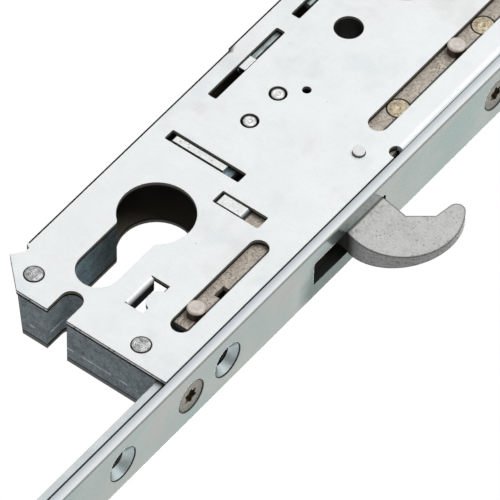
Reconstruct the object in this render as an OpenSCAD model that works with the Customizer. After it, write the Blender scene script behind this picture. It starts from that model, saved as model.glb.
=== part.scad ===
// Multipoint door lock: the centre case of a 35 mm backset lock on its faceplate, with a swinging
// hook, a latch, a drive rail that runs both ways from the case and a roller cam on each rail.
// The origin is on the cylinder axis at mid-thickness. +X runs out of the door's edge, +Z runs up
// the door and the cover plate faces -Y. In the comments, "height" is the distance from mid-thickness
// towards the cover plate. Lengths are in millimetres.

/* [Faceplate] */
// Backset, from the cylinder axis to the front of the faceplate
backset = 35; // [34:0.5:45]
// Width of the faceplate
faceplate_w = 16; // [14:0.5:24]
// Thickness of the faceplate
faceplate_t = 2.5; // [2:0.25:3]
// Length of faceplate below the case
strip_below = 95; // [85:1:160]
// Length of faceplate above the case
strip_above = 95; // [85:1:160]
// Radius of the faceplate's long front edges
face_edge_r = 0.4; // [0.2:0.1:0.8]
// Distance of the end screws from the faceplate's ends
end_screw_inset = 9.5; // [8:0.5:14]
// Height of the wood screw below the case, under the cylinder axis
wood_screw_drop = 56; // [52:1:62]
// Distance of the wood screw above the case, over the case top
wood_screw_rise = 14; // [10:1:20]
// Shank hole of the wood screws
wood_hole = 5; // [4:0.25:5.5]
// Head diameter of the countersunk screws
screw_head = 9; // [8:0.25:10]
// Depth of a screw head
screw_head_t = 2.2; // [1.6:0.1:2.4]
// Shank diameter of the case screws
case_screw = 4; // [3:0.25:4.5]
// Head diameter of the case screws
case_head = 8.2; // [7.4:0.1:8.6]
// Depth of the case screws' heads below the faceplate's front
head_sunk = 0.25; // [0.1:0.05:0.5]
// Reach of the lowest case screw behind the faceplate
low_screw_len = 9; // [7:0.5:10]
// Reach of the other case screws behind the faceplate
flange_screw_len = 3.8; // [3:0.1:4]
// Distance of the lowest case screw below the cylinder axis
low_screw_drop = 31.8; // [31:0.1:32.5]
// Distance of the middle case screw below the spindle
mid_screw_drop = 11.6; // [10:0.2:13]
// Distance of the upper case screw above the spindle
top_screw_rise = 12; // [10:0.5:14]

/* [Case] */
// Thickness of the case over both plates
case_t = 14; // [13:0.25:15]
// Thickness of the cover and base plates
plate_t = 1.5; // [1.25:0.05:1.75]
// Depth of the case behind the cylinder axis
case_back = 17.1; // [16.5:0.1:24]
// Reach of the case below the cylinder axis
case_bottom = 36.6; // [36:0.2:42]
// Reach of the case above the spindle axis
case_top = 74; // [72:1:90]
// Gap between the case plates and the faceplate
case_gap = 0.65; // [0.4:0.05:0.9]
// Chamfer of the case's back corners
case_chamfer = 7; // [4:0.5:9]
// Width of the notch in the bottom edge
notch_w = 5.6; // [4.5:0.1:6.5]
// Depth of the notch to its round end
notch_depth = 7.9; // [6:0.1:8.4]
// Diameter of the case rivets
rivet_d = 4.6; // [3.5:0.1:5]
// Diameter of the spacer stud ends
stud_d = 3.7; // [3:0.1:4.4]
// Gap round the spacer stud ends in the plates
stud_gap = 0.35; // [0.15:0.05:0.4]
// Gap round rivet ends in the plates and the slide bar
ring_gap = 0.16; // [0.1:0.02:0.24]
// Outer radius of the cover's bent front edge
bend_r = 2; // [1.9:0.1:3]

/* [Cylinder and spindle] */
// Diameter of the round part of the cylinder opening
cylinder_d = 18.2; // [17.4:0.1:19]
// Width of the cylinder opening's leg
cylinder_leg_w = 10.7; // [10.2:0.1:11]
// Reach of the cylinder opening below the axis
cylinder_drop = 26; // [25:0.1:26.4]
// Distance of the cylinder screw below the axis
cylinder_screw_drop = 18.8; // [18.4:0.1:19.6]
// Diameter of the cylinder screw's hole
cylinder_screw_hole = 5.5; // [5.2:0.1:5.8]
// Distance from the cylinder axis to the spindle axis
spindle_rise = 92; // [90:1:96]
// Side of the square spindle hole
spindle_sq = 8; // [7:0.5:9]
// Diameter of the follower hub
hub_d = 17; // [15:0.5:18]
// Distance of the handle screws from the spindle axis
handle_screw_rise = 21.5; // [21:0.1:22.5]
// Diameter of the handle screw holes
handle_hole = 7; // [6:0.25:7.5]
// Wall of the tubes round the handle screws
tube_wall = 1; // [0.75:0.05:1.25]

/* [Drive] */
// Travel of the drive slide from locked to open
travel = 18; // [15:0.5:19]
// Thickness of the slide plates
slide_t = 1.5; // [1.25:0.05:1.75]
// Gap between a sliding plate and its neighbours
slide_gap = 0.25; // [0.2:0.05:0.35]
// Thickness of the drive rails
rail_t = 3.2; // [2.5:0.1:3.5]
// Width of the drive rails
rail_w = 10.6; // [9:0.1:10.8]
// Gap round moving pieces
move_gap = 0.3; // [0.25:0.05:0.4]
// Radial gap of a running fit
run_gap = 0.05; // [0.03:0.01:0.08]
// Diameter of the drive pins
drive_pin_d = 4.3; // [3.6:0.1:4.4]
// Stand of the drive pins over the cover plate
pin_proud = 0.9; // [0.4:0.1:1.4]
// Width of the drive slots in the cover plate
drive_slot_w = 5; // [4.9:0.1:5.4]
// Diameter of the flush rivets in the slide bar
slide_rivet_d = 5.6; // [4.5:0.1:6]
// Distance of the lower drive pin below the cylinder axis
lower_pin_drop = 16.2; // [15.5:0.1:16.6]
// Distance of the hub's drive pin from the spindle axis, across the case
hub_pin_x = 22.7; // [22:0.1:23]

/* [Hook and latch] */
// Height of the hook's pivot over the cylinder axis
pivot_rise = 42.2; // [41.8:0.1:44]
// Distance of the hook's pivot behind the faceplate's front
pivot_inset = 10.4; // [10.2:0.1:11]
// Diameter of the hook's pivot pin
pivot_d = 6; // [5:0.1:6.4]
// Diameter of the pivot's riveted end
pivot_end_d = 2.8; // [2:0.1:3.4]
// Stand of the pivot's riveted end over the cover plate
pivot_proud = 0.85; // [0.3:0.05:1.2]
// Radius of the hook's outer arc
claw_r = 14.2; // [13.4:0.1:14.6]
// Distance of the hook's cam pin behind its pivot
cam_arm = 10.2; // [9.8:0.1:11]
// Thickness of the hook's tip
tip_t = 2.8; // [2:0.1:4]
// Radius of the hook's tip, seen from the cover's side
tip_r = 2; // [1.5:0.1:2.4]
// Throw of the latch
latch_throw = 11; // [9:0.5:12]
// Height of the latch bolt
latch_h = 18; // [14:0.5:20]
// Distance from the spindle to the latch's centre
latch_rise = 36; // [35:0.5:40]

/* [Roller cams] */
// Diameter of the rollers
roller_d = 13; // [11:0.5:15]
// Length of the rollers
roller_len = 7.5; // [6:0.5:10]
// Diameter of the roller studs
roller_stud_d = 6; // [5:0.25:7]
// Width across the flats of the socket in a roller stud's head
stud_socket = 3; // [2.5:0.25:4]

/* [Auxiliary slides] */
// Travel of the deadlock slide
deadlock_travel = 3; // [2:0.1:3.2]
// Travel of the changeover bar
changeover_travel = 8; // [5:0.5:9]
// Stand of the slides' lugs over the slide plates
lug_h = 1.35; // [1:0.05:1.6]

/* [Hidden] */
$fn = 64;

// Heights of the layers between the plates
half_t = case_t / 2;
inner = half_t - plate_t;
slide_top = inner - slide_gap;
slide_low = slide_top - slide_t;
link_low = slide_low - slide_t;
hook_half = slide_low - slide_gap - 0.1;
lever_half = 1.5;
tail_low = lever_half + 0.5;
latch_half = hook_half;

// Lines across the case, from back to front
face_back = backset - faceplate_t;
front_x = face_back - move_gap;
plate_front = face_back - case_gap;
rail_back = front_x - rail_t;
slide_front = rail_back - 1.2;
drive_slot_inset = 10.95;
drive_slot_x = backset - drive_slot_inset;
slide_back = drive_slot_x - 3.05;
slide_inset = 19.4;
slide_back_mid = backset - slide_inset;
slide_back_high = hub_pin_x - 4.2;
pivot_x = backset - pivot_inset;
back_slot_x = 5.45 - case_back;

// Levels up the case and the faceplate
case_high = spindle_rise + case_top;
strip_low = -case_bottom - strip_below;
strip_high = case_high + strip_above;
end_screw_low = strip_low + end_screw_inset;
end_screw_high = strip_high - end_screw_inset;
wood_screw_high = case_high + wood_screw_rise;
screw_levels = [-low_screw_drop, spindle_rise - mid_screw_drop, spindle_rise + top_screw_rise];
wood_levels = [end_screw_low, -wood_screw_drop, wood_screw_high, end_screw_high];
lower_block_h = 12.1;
block_floor = lower_block_h - case_bottom;
upper_block_h = 19;
block_ceiling = case_high - upper_block_h;
latch_z = spindle_rise + latch_rise;
latch_floor = latch_z - latch_h / 2;
latch_ceiling = latch_z + latch_h / 2;
rail_low_end = end_screw_low + wood_hole / 2 + 3;
rail_high_start = latch_ceiling + 1.3;
rail_high_end = end_screw_high - wood_hole / 2 - 3 - travel;
roller_levels = [rail_low_end + 12, rail_high_end - 12];
tab_h = 6;
tab_low_z = -lower_pin_drop - tab_h / 2;
rail_low_top = tab_low_z + tab_h + 2;
tab_high_z = rail_high_start + 1;
tab_depth = 1.6;
rail_slot_w = cylinder_screw_hole + 0.1;
joggle_z = 48;
joggle = 0.4;
foot_step = 1.05;
ear_ease = 0.5;
opening_ease = 1.2;
foot_bite = 1.1;
foot_inset = 1.6;
ear_z = case_chamfer + 0.55 - case_bottom;
bite_z = ear_z + foot_step + foot_bite;
foot_z = bite_z + 2;
wall_low = foot_z + 1.2;

// Hook and hub motion: a pin on the slide turns each fork by the angle it passes through
function fork_angle(arm, rise) = atan(rise / arm);
function fork_swing(arm, rise) = fork_angle(arm, rise + travel) - fork_angle(arm, rise);
function fork_lag(arm, rise, part) =
    let (at = rise + travel * part)
    norm([arm, at]) * sin(fork_angle(arm, at) - fork_angle(arm, rise) - fork_swing(arm, rise) * part);
function fork_play(arm, rise) = max([for (i = [0:24]) abs(fork_lag(arm, rise, i / 24))]);
cam_rise = -travel / 2;
cam_x = pivot_x - cam_arm;
cam_z = pivot_rise + cam_rise;
cam_pin_d = 4;
hub_rise = -10.7;
hub_pin_z = spindle_rise + hub_rise;
hub_swing = fork_swing(hub_pin_x, hub_rise);
latch_arm_r = latch_throw / (2 * sin(hub_swing / 2));
latch_nose_r = 1.6;
latch_peg_r = 2;
latch_peg_x = latch_throw / 2 - latch_nose_r - latch_peg_r - move_gap;
latch_peg_z = spindle_rise + latch_arm_r * cos(hub_swing / 4);

// Hook outline, measured from its pivot
claw_x = pivot_inset + 5.4;
claw_z = -4.5;
claw_sweep = norm([claw_x, claw_z]) + claw_r;
neck_drop = 4.6;
tip_angle = 36;
tip_end_angle = 175;
heel_angle = -115;
hook_hub_r = 7.2;
taper_start = pivot_inset + 0.6;
pivot_neck_r = pivot_d / 2 - 0.5;
slide_rivet_levels = [pivot_rise + hook_hub_r + 10.1, hub_pin_z + 10.1];

// Openings
cylinder_r = cylinder_d / 2;
leg_r = cylinder_leg_w / 2;
leg_end = -sqrt(cylinder_r * cylinder_r - leg_r * leg_r);
tube_r = handle_hole / 2 + tube_wall;
window_w = 5.2;
window_h = 9.8;
window_back = leg_r + 4.95;
window_front = window_back + window_w;
window_z = -cylinder_screw_drop - 0.8;
window_low = window_z - window_h / 2;
window_high = window_z + window_h / 2;
lip_r = 0.9;
lip_drop = 3.9;
tongue_r = 3;
tongue_reach = 2.2;
leg_wall = 1.65;
leg_wall_end = leg_end - 2.4;
relief_w = 3.65;
relief_top = leg_end + 1.75;
slot_corner = 0.8;
slot_reach = pivot_inset - faceplate_t;
hook_slot_low = pivot_rise - sqrt(claw_sweep * claw_sweep - slot_reach * slot_reach) - move_gap;
hook_slot_high = pivot_rise - neck_drop + 1.1;
flange_low = pivot_rise + 7.2;
flange_high = latch_floor - 9;
edge_notch_r = 1.7;
edge_notch_x = front_x - 1.2;
pin_hole_r = 1.1;
notch_x = 0.85;

// Auxiliary slides
deadlock_z = 20;
deadlock_slot_w = 3.2;
cam_lug_z = 12.5;
cam_slot_w = 4;
nose_z = 26.6;
nose_h = 2.8;
slide_step_z = nose_z - nose_h / 2 - travel + 3.5;
lug_back = -10.7;
lug_front = 3.7;
cam_lug_back = 8.3;
cam_lug_front = slide_back_mid - 0.9;
changeover_z = pivot_rise + 3.2;
back_lug_drop = 12;
back_slot_w = 2.5;
back_slot_low = pivot_rise - 7.5;
back_slot_rise = 23.4;
back_slot_high = pivot_rise + back_slot_rise;
back_lug_len = 4.2;
back_lug_levels = [changeover_z + 0.5, spindle_rise - back_lug_drop];
rivet_points = [[case_chamfer - 0.3 - case_back, 5.9 - case_bottom], [slide_front - 7, 4.9 - case_bottom],
    [case_chamfer - 0.3 - case_back, case_high - 8], [slide_back_high - 6, case_high - 8]];
stud_points = [[-0.45, 34.4], [-0.45, 44.8]];

// Extrudes an outline in X and Z between two heights over mid-thickness
module slab(low, high) {
    rotate([90, 0, 0]) translate([0, 0, low]) linear_extrude(high - low) children();
}

// Extrudes an outline in Y and Z between two distances along X
module strip(from, to) {
    translate([from, 0, 0]) rotate([90, 0, 90]) linear_extrude(to - from) children();
}

// Round bar through the case
module rod(x, z, low, high, r) {
    slab(low, high) translate([x, z]) circle(r);
}

// Round bar through the case whose end towards the cover is chamfered
module eased_rod(x, z, low, high, r, ease) {
    rod(x, z, low, high - ease, r);
    translate([x, ease - high, z]) rotate([90, 0, 0]) cylinder(h = ease, r1 = r, r2 = r - ease);
}

// Round bar along X at mid-thickness
module rod_x(from, to, z, r) {
    strip(from, to) translate([0, z]) circle(r);
}

// Cone along X that opens from one radius to another
module cone_x(from, to, z, r_from, r_to) {
    translate([from, 0, z]) rotate([0, 90, 0]) cylinder(h = to - from, r1 = r_from, r2 = r_to);
}

// Upright slot outline between two levels
module slot_z(x, low, high, w) {
    translate([x - w / 2, low + w / 2]) square([w, high - low - w]);
    for (z = [low + w / 2, high - w / 2]) translate([x, z]) circle(w / 2);
}

// Rectangle given by its corners
module box2d(x0, z0, x1, z1) {
    translate([x0, z0]) square([x1 - x0, z1 - z0]);
}

// Rectangle given by its corners, with round corners
module round_box2d(x0, z0, x1, z1, r) {
    box2d(x0 + r, z0, x1 - r, z1);
    box2d(x0, z0 + r, x1, z1 - r);
    for (x = [x0 + r, x1 - r], z = [z0 + r, z1 - r]) translate([x, z]) circle(r);
}

// Points along an arc, from one angle to another
function arc(centre, r, from, to, steps) =
    [for (i = [0:steps]) let (a = from + (to - from) * i / steps) centre + r * [cos(a), sin(a)]];

// Outline of the case plates, with the joggle in the back edge, a bite over the foot and the foot's ear
module case_outline() {
    back_high = case_back + joggle;
    ear_back = case_back + foot_step;
    bite_x = foot_bite - case_back;
    polygon([[plate_front, -case_bottom], [plate_front, case_high], [case_chamfer - back_high, case_high],
        [-back_high, case_high - case_chamfer], [-back_high, joggle_z + joggle], [-case_back, joggle_z],
        [-case_back, foot_z], [bite_x, foot_z - foot_bite / 2], [bite_x, bite_z],
        [ear_ease - ear_back, ear_z], [-ear_back, ear_z - ear_ease],
        [ear_z + case_bottom - ear_back, -case_bottom]]);
}

// Corner of the foot that the block and the base plate leave free under the cover
module foot_corner() {
    edge_x = foot_inset - case_back - foot_step;
    polygon([[edge_x - foot_inset - 1, -case_bottom - 1], [edge_x + ear_z + case_bottom + 1, -case_bottom - 1],
        [edge_x - foot_inset, ear_z + foot_inset], [edge_x - foot_inset - 1, ear_z + foot_inset]]);
}

// Key-cylinder opening: a round part and a leg with a round foot, eased where the two meet
module cylinder_opening() {
    ease_x = leg_r + opening_ease;
    ease_z = -sqrt(pow(cylinder_r + opening_ease, 2) - pow(ease_x, 2));
    reach = cylinder_r / (cylinder_r + opening_ease);
    circle(cylinder_r);
    box2d(-leg_r, leg_r - cylinder_drop, leg_r, 0);
    translate([0, leg_r - cylinder_drop]) circle(leg_r);
    for (side = [-1, 1]) difference() {
        polygon([[side * (leg_r - 1), ease_z], [side * leg_r, ease_z],
            [side * ease_x * reach, ease_z * reach], [side * (leg_r - 1), ease_z * reach]]);
        translate([side * ease_x, ease_z]) circle(opening_ease);
    }
}

// Notch in the bottom edge of the case
module bottom_notch() {
    end_z = notch_depth - case_bottom - notch_w / 2;
    box2d(notch_x - notch_w / 2, -case_bottom - 1, notch_x + notch_w / 2, end_z);
    translate([notch_x, end_z]) circle(notch_w / 2);
}

// Openings that go through both plates
module plate_cuts() {
    cylinder_opening();
    bottom_notch();
    for (p = rivet_points) translate(p) circle(rivet_d / 2 + ring_gap);
    for (p = stud_points) translate(p) circle(stud_d / 2 + stud_gap);
    translate([0, spindle_rise]) circle(hub_d / 2 + run_gap);
    for (side = [-1, 1]) translate([0, spindle_rise + side * handle_screw_rise]) circle(handle_hole / 2);
    lug_run = back_lug_len + changeover_travel;
    slot_head = 15.8;
    back_slot(back_slot_low, back_lug_levels[0] + lug_run + 2.3);
    back_slot(back_slot_high, back_lug_levels[1] + lug_run + slot_head);
}

// Upright slot near the back edge, between two levels
module back_slot(low, high) {
    round_box2d(back_slot_x - back_slot_w / 2, low, back_slot_x + back_slot_w / 2, high, 0.5);
}

// Level slot of the cover plate, given by its height and its ends
module level_slot(z, from, to, w) {
    round_box2d(from, z - w / 2, to, z + w / 2, 0.4);
}

// Slots and holes of the cover plate alone
module cover_cuts() {
    difference() {
        box2d(window_back, window_low, window_front, window_high);
        translate([window_front + tongue_r - tongue_reach, window_z]) circle(tongue_r);
    }
    slot_z(drive_slot_x, -lower_pin_drop - 7.8, travel - lower_pin_drop + 6.8, drive_slot_w);
    slot_z(hub_pin_x, flange_low + 0.2, hub_pin_z + travel + 5, drive_slot_w);
    level_slot(deadlock_z, lug_back - 1.7, lug_front + deadlock_travel + 2, deadlock_slot_w);
    level_slot(cam_lug_z, cam_lug_back - 0.8, cam_lug_front + deadlock_travel + 2.7, cam_slot_w);
    translate([4, pivot_rise + 7.5]) circle(pin_hole_r);
    translate([pivot_x, pivot_rise]) circle(pivot_end_d / 2 + ring_gap);
    translate([edge_notch_x, flange_low - edge_notch_r]) circle(edge_notch_r);
    box2d(edge_notch_x, flange_low - 2 * edge_notch_r, front_x + 1, flange_low);
}

// Front edge of the cover, bent down to stand behind the faceplate
module cover_flange() {
    bend_x = front_x - bend_r;
    translate([0, 0, flange_low]) linear_extrude(flange_high - flange_low) {
        translate([front_x - plate_t, bend_r - half_t]) square([plate_t, half_t - bend_r + inner - move_gap]);
        intersection() {
            difference() {
                translate([bend_x, bend_r - half_t]) circle(bend_r);
                translate([bend_x, bend_r - half_t]) circle(bend_r - plate_t);
            }
            translate([bend_x, -half_t]) square(bend_r);
        }
    }
}

// Lip bent down into the case along the back edge of the screw window
module window_lip() {
    translate([window_back, lip_r - half_t, window_low + move_gap]) linear_extrude(window_h - 2 * move_gap) {
        square([lip_r, lip_drop - lip_r]);
        intersection() {
            circle(lip_r);
            translate([0, -lip_r]) square(lip_r);
        }
    }
}

module cover_plate() {
    color("gainsboro") difference() {
        union() {
            slab(inner, half_t) difference() {
                case_outline();
                plate_cuts();
                cover_cuts();
                box2d(front_x - bend_r, flange_low, front_x + 1, flange_high);
            }
            cover_flange();
            window_lip();
        }
        for (i = [1, 2]) rod_x(front_x - plate_t - 1, front_x + 1, screw_levels[i], case_screw / 2);
    }
}

module base_plate() {
    color("gainsboro") slab(-half_t, -inner) difference() {
        case_outline();
        plate_cuts();
        foot_corner();
        box2d(0, window_low, window_front, window_high);
        box2d(0, window_low, leg_r + relief_w, relief_top);
        translate([pivot_x, pivot_rise]) circle(pivot_d / 2);
    }
}

// Wall between the plates along the back of the case
module back_wall() {
    color("silver") slab(-inner, inner)
        box2d(-case_back, wall_low, plate_t - case_back, block_ceiling);
}

// Cast block that walls in the leg of the cylinder and carries the lowest case screw
module lower_block() {
    block_front = slide_back - 0.7;
    leg_wall_x = leg_r + leg_wall;
    color("dimgray") difference() {
        slab(-inner, inner) difference() {
            intersection() {
                case_outline();
                union() {
                    box2d(-case_back - foot_step, -case_bottom, rail_back - 0.5, block_floor);
                    box2d(-cylinder_r - 1, block_floor - 1, block_front, leg_end);
                }
            }
            cylinder_opening();
            bottom_notch();
            foot_corner();
            box2d(leg_wall_x, window_low, window_front, leg_end + 1);
            box2d(0, leg_wall_end, leg_wall_x + 1, leg_end + 1);
            for (i = [0, 1]) translate(rivet_points[i]) circle(rivet_d / 2);
        }
        rod_x(0, block_front + 1, -cylinder_screw_drop, cylinder_screw_hole / 2);
        rod_x(face_back - low_screw_len, rail_back, screw_levels[0], case_screw / 2);
    }
}

// Cast block that closes the top of the case
module upper_block() {
    color("dimgray") slab(-inner, inner) difference() {
        polygon([[-case_back, block_ceiling], [slide_back_high - 0.7, block_ceiling],
            [slide_back_high - 0.7, case_high], [case_chamfer - case_back, case_high],
            [-case_back, case_high - case_chamfer]]);
        for (i = [2, 3]) translate(rivet_points[i]) circle(rivet_d / 2);
    }
}

module case_rivets() {
    color("darkgray") for (p = rivet_points) rod(p.x, p.y, -half_t, half_t + 0.1, rivet_d / 2);
}

// Studs that hold the plates apart in the middle of the case
module spacer_studs() {
    ease = 0.45;
    color("darkgray") for (p = stud_points) {
        eased_rod(p.x, p.y, -half_t, half_t, stud_d / 2, ease);
        rod(p.x, p.y, -inner, inner, stud_d / 2 + stud_gap + 0.8);
    }
}

// Tube round a handle screw
module handle_tube(z) {
    slab(-inner, inner) translate([0, z]) difference() {
        circle(tube_r);
        circle(handle_hole / 2);
    }
}

module handle_tube_low() {
    color("darkgray") handle_tube(spindle_rise - handle_screw_rise);
}

module handle_tube_high() {
    color("darkgray") handle_tube(spindle_rise + handle_screw_rise);
}

// Countersunk screw that holds the faceplate to the case
module case_screw(z, reach) {
    neck_x = backset - screw_head_t;
    head_x = backset - head_sunk;
    star_r = case_head * 0.265;
    star_t = 1.1;
    lobe_r = star_r * 0.24;
    difference() {
        union() {
            cone_x(neck_x, head_x, z, case_screw / 2, case_head / 2);
            rod_x(face_back - reach, neck_x, z, case_screw / 2);
        }
        strip(head_x - star_t, backset) translate([0, z]) {
            circle(star_r * 0.74);
            for (a = [0:60:300]) rotate(a) translate([star_r - lobe_r, 0]) circle(lobe_r);
        }
    }
}

module case_screw_low() {
    color("rosybrown") case_screw(screw_levels[0], low_screw_len);
}

module case_screw_mid() {
    color("rosybrown") case_screw(screw_levels[1], flange_screw_len);
}

module case_screw_top() {
    color("rosybrown") case_screw(screw_levels[2], flange_screw_len);
}

// Countersunk hole through the faceplate
module countersink(z, shank_r, sink_r) {
    cone_x(backset - screw_head_t, backset, z, shank_r, sink_r);
    rod_x(face_back - 1, backset, z, shank_r);
}

module faceplate() {
    open_sink_r = screw_head / 2 + ring_gap;
    head_reach = (screw_head_t - head_sunk) / screw_head_t;
    case_sink_r = case_screw / 2 + (case_head / 2 + ring_gap - case_screw / 2) / head_reach;
    half_w = faceplate_w / 2;
    slot_half = hook_half + move_gap;
    latch_slot_half = latch_half + move_gap;
    stud_slot_r = roller_stud_d / 2 + move_gap;
    color("darkseagreen") difference() {
        intersection() {
            strip(face_back, backset) difference() {
                round_box2d(-half_w, strip_low, half_w, strip_high, half_w - 0.5);
                round_box2d(-slot_half, hook_slot_low, slot_half, hook_slot_high, slot_corner);
                round_box2d(-latch_slot_half, latch_floor - move_gap, latch_slot_half,
                    latch_ceiling + move_gap, slot_corner);
                for (z = roller_levels) slot_z(0, z - stud_slot_r, z + travel + stud_slot_r, 2 * stud_slot_r);
            }
            translate([0, 0, strip_low - 1]) linear_extrude(strip_high - strip_low + 2)
                round_box2d(face_back - 1, -half_w, backset, half_w, face_edge_r);
        }
        for (z = screw_levels) countersink(z, case_screw / 2, case_sink_r);
        for (z = wood_levels) countersink(z, wood_hole / 2, open_sink_r);
        countersink(-cylinder_screw_drop, cylinder_screw_hole / 2, open_sink_r);
    }
}

// Flat bar under the cover that carries the drive pins, with an ear for the hook's cam pin
module slide_bar() {
    ear_r = cam_pin_d / 2 + 2.2;
    slot_half = pivot_neck_r + move_gap;
    lightening_low = 6.7 - lower_pin_drop;
    lightening_h = 3.4;
    color("tan") slab(slide_low, slide_top) difference() {
        union() {
            box2d(slide_back, -lower_pin_drop - 4.7, slide_front, pivot_rise);
            box2d(slide_back_high, cam_z, slide_front, tab_high_z + tab_h + 2);
            box2d(slide_back_mid, slide_step_z, slide_back + 1, cam_z + ear_r);
            box2d(slide_back, slide_step_z, rail_back + 1, pivot_rise + 7);
            translate([cam_x, cam_z]) circle(ear_r);
            box2d(cam_x, cam_z - 1, slide_back + 1, cam_z + ear_r);
            for (z = [tab_low_z, tab_high_z]) box2d(slide_front - 1, z, rail_back + tab_depth, z + tab_h);
        }
        slot_z(pivot_x, pivot_rise - travel - slot_half, pivot_rise + slot_half, 2 * slot_half);
        box2d(slide_back_mid - 1, nose_z - nose_h / 2 - 0.4, slide_back_mid + deadlock_travel,
            nose_z + nose_h / 2 + 0.4);
        box2d(drive_slot_x - 0.3, lightening_low, drive_slot_x + 2.2, lightening_low + lightening_h);
        translate([drive_slot_x, -lower_pin_drop]) circle(drive_pin_d / 2);
        translate([hub_pin_x, hub_pin_z]) circle(drive_pin_d / 2);
        translate([cam_x, cam_z]) circle(cam_pin_d / 2);
        for (z = slide_rivet_levels) translate([hub_pin_x, z]) circle(slide_rivet_d / 2 + ring_gap);
    }
}

// Stiffener riveted under the slide bar round the hub's drive pin
module slide_link() {
    link_end = 5;
    color("tan") slab(link_low, slide_low) difference() {
        round_box2d(slide_back_high + 0.5, slide_rivet_levels[0] - link_end, slide_front,
            slide_rivet_levels[1] + link_end, 2);
        translate([hub_pin_x, hub_pin_z]) circle(drive_pin_d / 2);
        for (z = slide_rivet_levels) translate([hub_pin_x, z]) circle(slide_rivet_d / 2);
    }
}

module slide_rivets() {
    dimple_r = 0.7;
    dimple_t = 0.35;
    color("darkgray") for (z = slide_rivet_levels) difference() {
        rod(hub_pin_x, z, link_low, slide_top, slide_rivet_d / 2);
        translate([hub_pin_x, dimple_t - slide_top, z]) rotate([90, 0, 0])
            cylinder(h = dimple_t, r1 = 0, r2 = dimple_r);
    }
}

// Drive pin fixed in the slide bar, with an eased end over the cover plate
module drive_pin(x, z, low) {
    eased_rod(x, z, low, half_t + pin_proud, drive_pin_d / 2, 0.3);
}

module lower_drive_pin() {
    color("cornsilk") drive_pin(drive_slot_x, -lower_pin_drop, slide_low);
}

module hub_drive_pin() {
    color("cornsilk") drive_pin(hub_pin_x, hub_pin_z, -lever_half - 0.5);
}

module hook_cam_pin() {
    color("cornsilk") rod(cam_x, cam_z, -hook_half, slide_top, cam_pin_d / 2);
}

// Rail behind the faceplate: a flat bar, slotted where fixed screws pass through it
module lower_rail() {
    color("slategray") difference() {
        strip(rail_back, front_x) difference() {
            round_box2d(-rail_w / 2, rail_low_end, rail_w / 2, rail_low_top, 1);
            slot_z(0, -wood_screw_drop - travel - rail_slot_w / 2, rail_slot_w / 2 - cylinder_screw_drop,
                rail_slot_w);
            translate([0, roller_levels[0]]) circle(roller_stud_d / 2);
        }
        rail_tab_notch(tab_low_z);
    }
}

module upper_rail() {
    color("slategray") difference() {
        strip(rail_back, front_x) difference() {
            round_box2d(-rail_w / 2, rail_high_start, rail_w / 2, rail_high_end, 1);
            slot_z(0, wood_screw_high - travel - rail_slot_w / 2, wood_screw_high + rail_slot_w / 2,
                rail_slot_w);
            translate([0, roller_levels[1]]) circle(roller_stud_d / 2);
        }
        rail_tab_notch(tab_high_z);
    }
}

// Notch in a rail's edge that takes a tab of the slide bar
module rail_tab_notch(z) {
    translate([rail_back - 1, -half_t, z]) cube([tab_depth + 1, half_t - slide_low, tab_h]);
}

// Stud fixed in the rail, with a head that keeps the roller and a six-sided socket for a key
module roller_stud(z) {
    head_x = backset + roller_len + 2 * move_gap;
    head_t = 1.2;
    socket_t = 2.4;
    difference() {
        union() {
            rod_x(rail_back, head_x, z, roller_stud_d / 2);
            rod_x(head_x, head_x + head_t, z, roller_stud_d / 2 + 1.2);
        }
        strip(head_x + head_t - socket_t, head_x + head_t + 1) translate([0, z])
            circle(stud_socket / sqrt(3), $fn = 6);
    }
}

module roller_stud_low() {
    color("silver") roller_stud(roller_levels[0]);
}

module roller_stud_high() {
    color("silver") roller_stud(roller_levels[1]);
}

// Roller with a shallow groove round its middle
module roller(z) {
    bore_r = roller_stud_d / 2 + run_gap;
    groove_r = roller_len * 0.8;
    translate([backset + move_gap, 0, z]) rotate([0, 90, 0]) rotate_extrude() difference() {
        translate([bore_r, 0]) square([roller_d / 2 - bore_r, roller_len]);
        translate([roller_d / 2 + roller_len * 0.7, roller_len / 2]) circle(groove_r);
    }
}

module roller_low() {
    color("lightsteelblue") roller(roller_levels[0]);
}

module roller_high() {
    color("lightsteelblue") roller(roller_levels[1]);
}

// Pivot pin with a collar under the hook, a neck through the slide bar and a riveted end
module hook_pivot() {
    color("silver") {
        rod(pivot_x, pivot_rise, -half_t, hook_half + 0.1, pivot_d / 2);
        rod(pivot_x, pivot_rise, -inner, -hook_half - run_gap, pivot_d / 2 + 1.5);
        rod(pivot_x, pivot_rise, hook_half, inner, pivot_neck_r);
        rod(pivot_x, pivot_rise, inner, half_t + pivot_proud, pivot_end_d / 2);
    }
}

// Outline of the hook round its pivot: the claw outside the case, the neck and the forked tail
module hook_outline() {
    claw = [claw_x, claw_z];
    tip = claw + (claw_r - tip_r) * [cos(tip_angle), sin(tip_angle)];
    tine = 2.4;
    tail_angle = 180 + fork_angle(cam_arm, -cam_rise);
    tail_half = cam_pin_d / 2 + fork_play(cam_arm, cam_rise) + tine + 0.2;
    tail_len = norm([cam_arm, cam_rise]) + cam_pin_d / 2 + 1.5;
    difference() {
        union() {
            circle(hook_hub_r);
            polygon(concat(arc(claw, claw_r, heel_angle, tip_angle, 48),
                arc(tip, tip_r, tip_angle, tip_end_angle, 16),
                [claw + [7.2, 3], claw + [1.9, -1.2], [taper_start, -neck_drop],
                    [slot_reach - 1, -neck_drop],
                    [hook_hub_r * 0.6, -hook_hub_r * 0.3], [-hook_hub_r * 0.5, -hook_hub_r * 0.8],
                    [-1, claw_z - claw_r * 0.8]]));
            rotate(tail_angle) box2d(0, -tail_half, tail_len, tail_half);
        }
        circle(pivot_d / 2 + run_gap);
        rotate(tail_angle)
            box2d(cam_arm - cam_pin_d / 2 - 1, tine - tail_half, tail_len + 1, tail_half - tine);
    }
}

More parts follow.
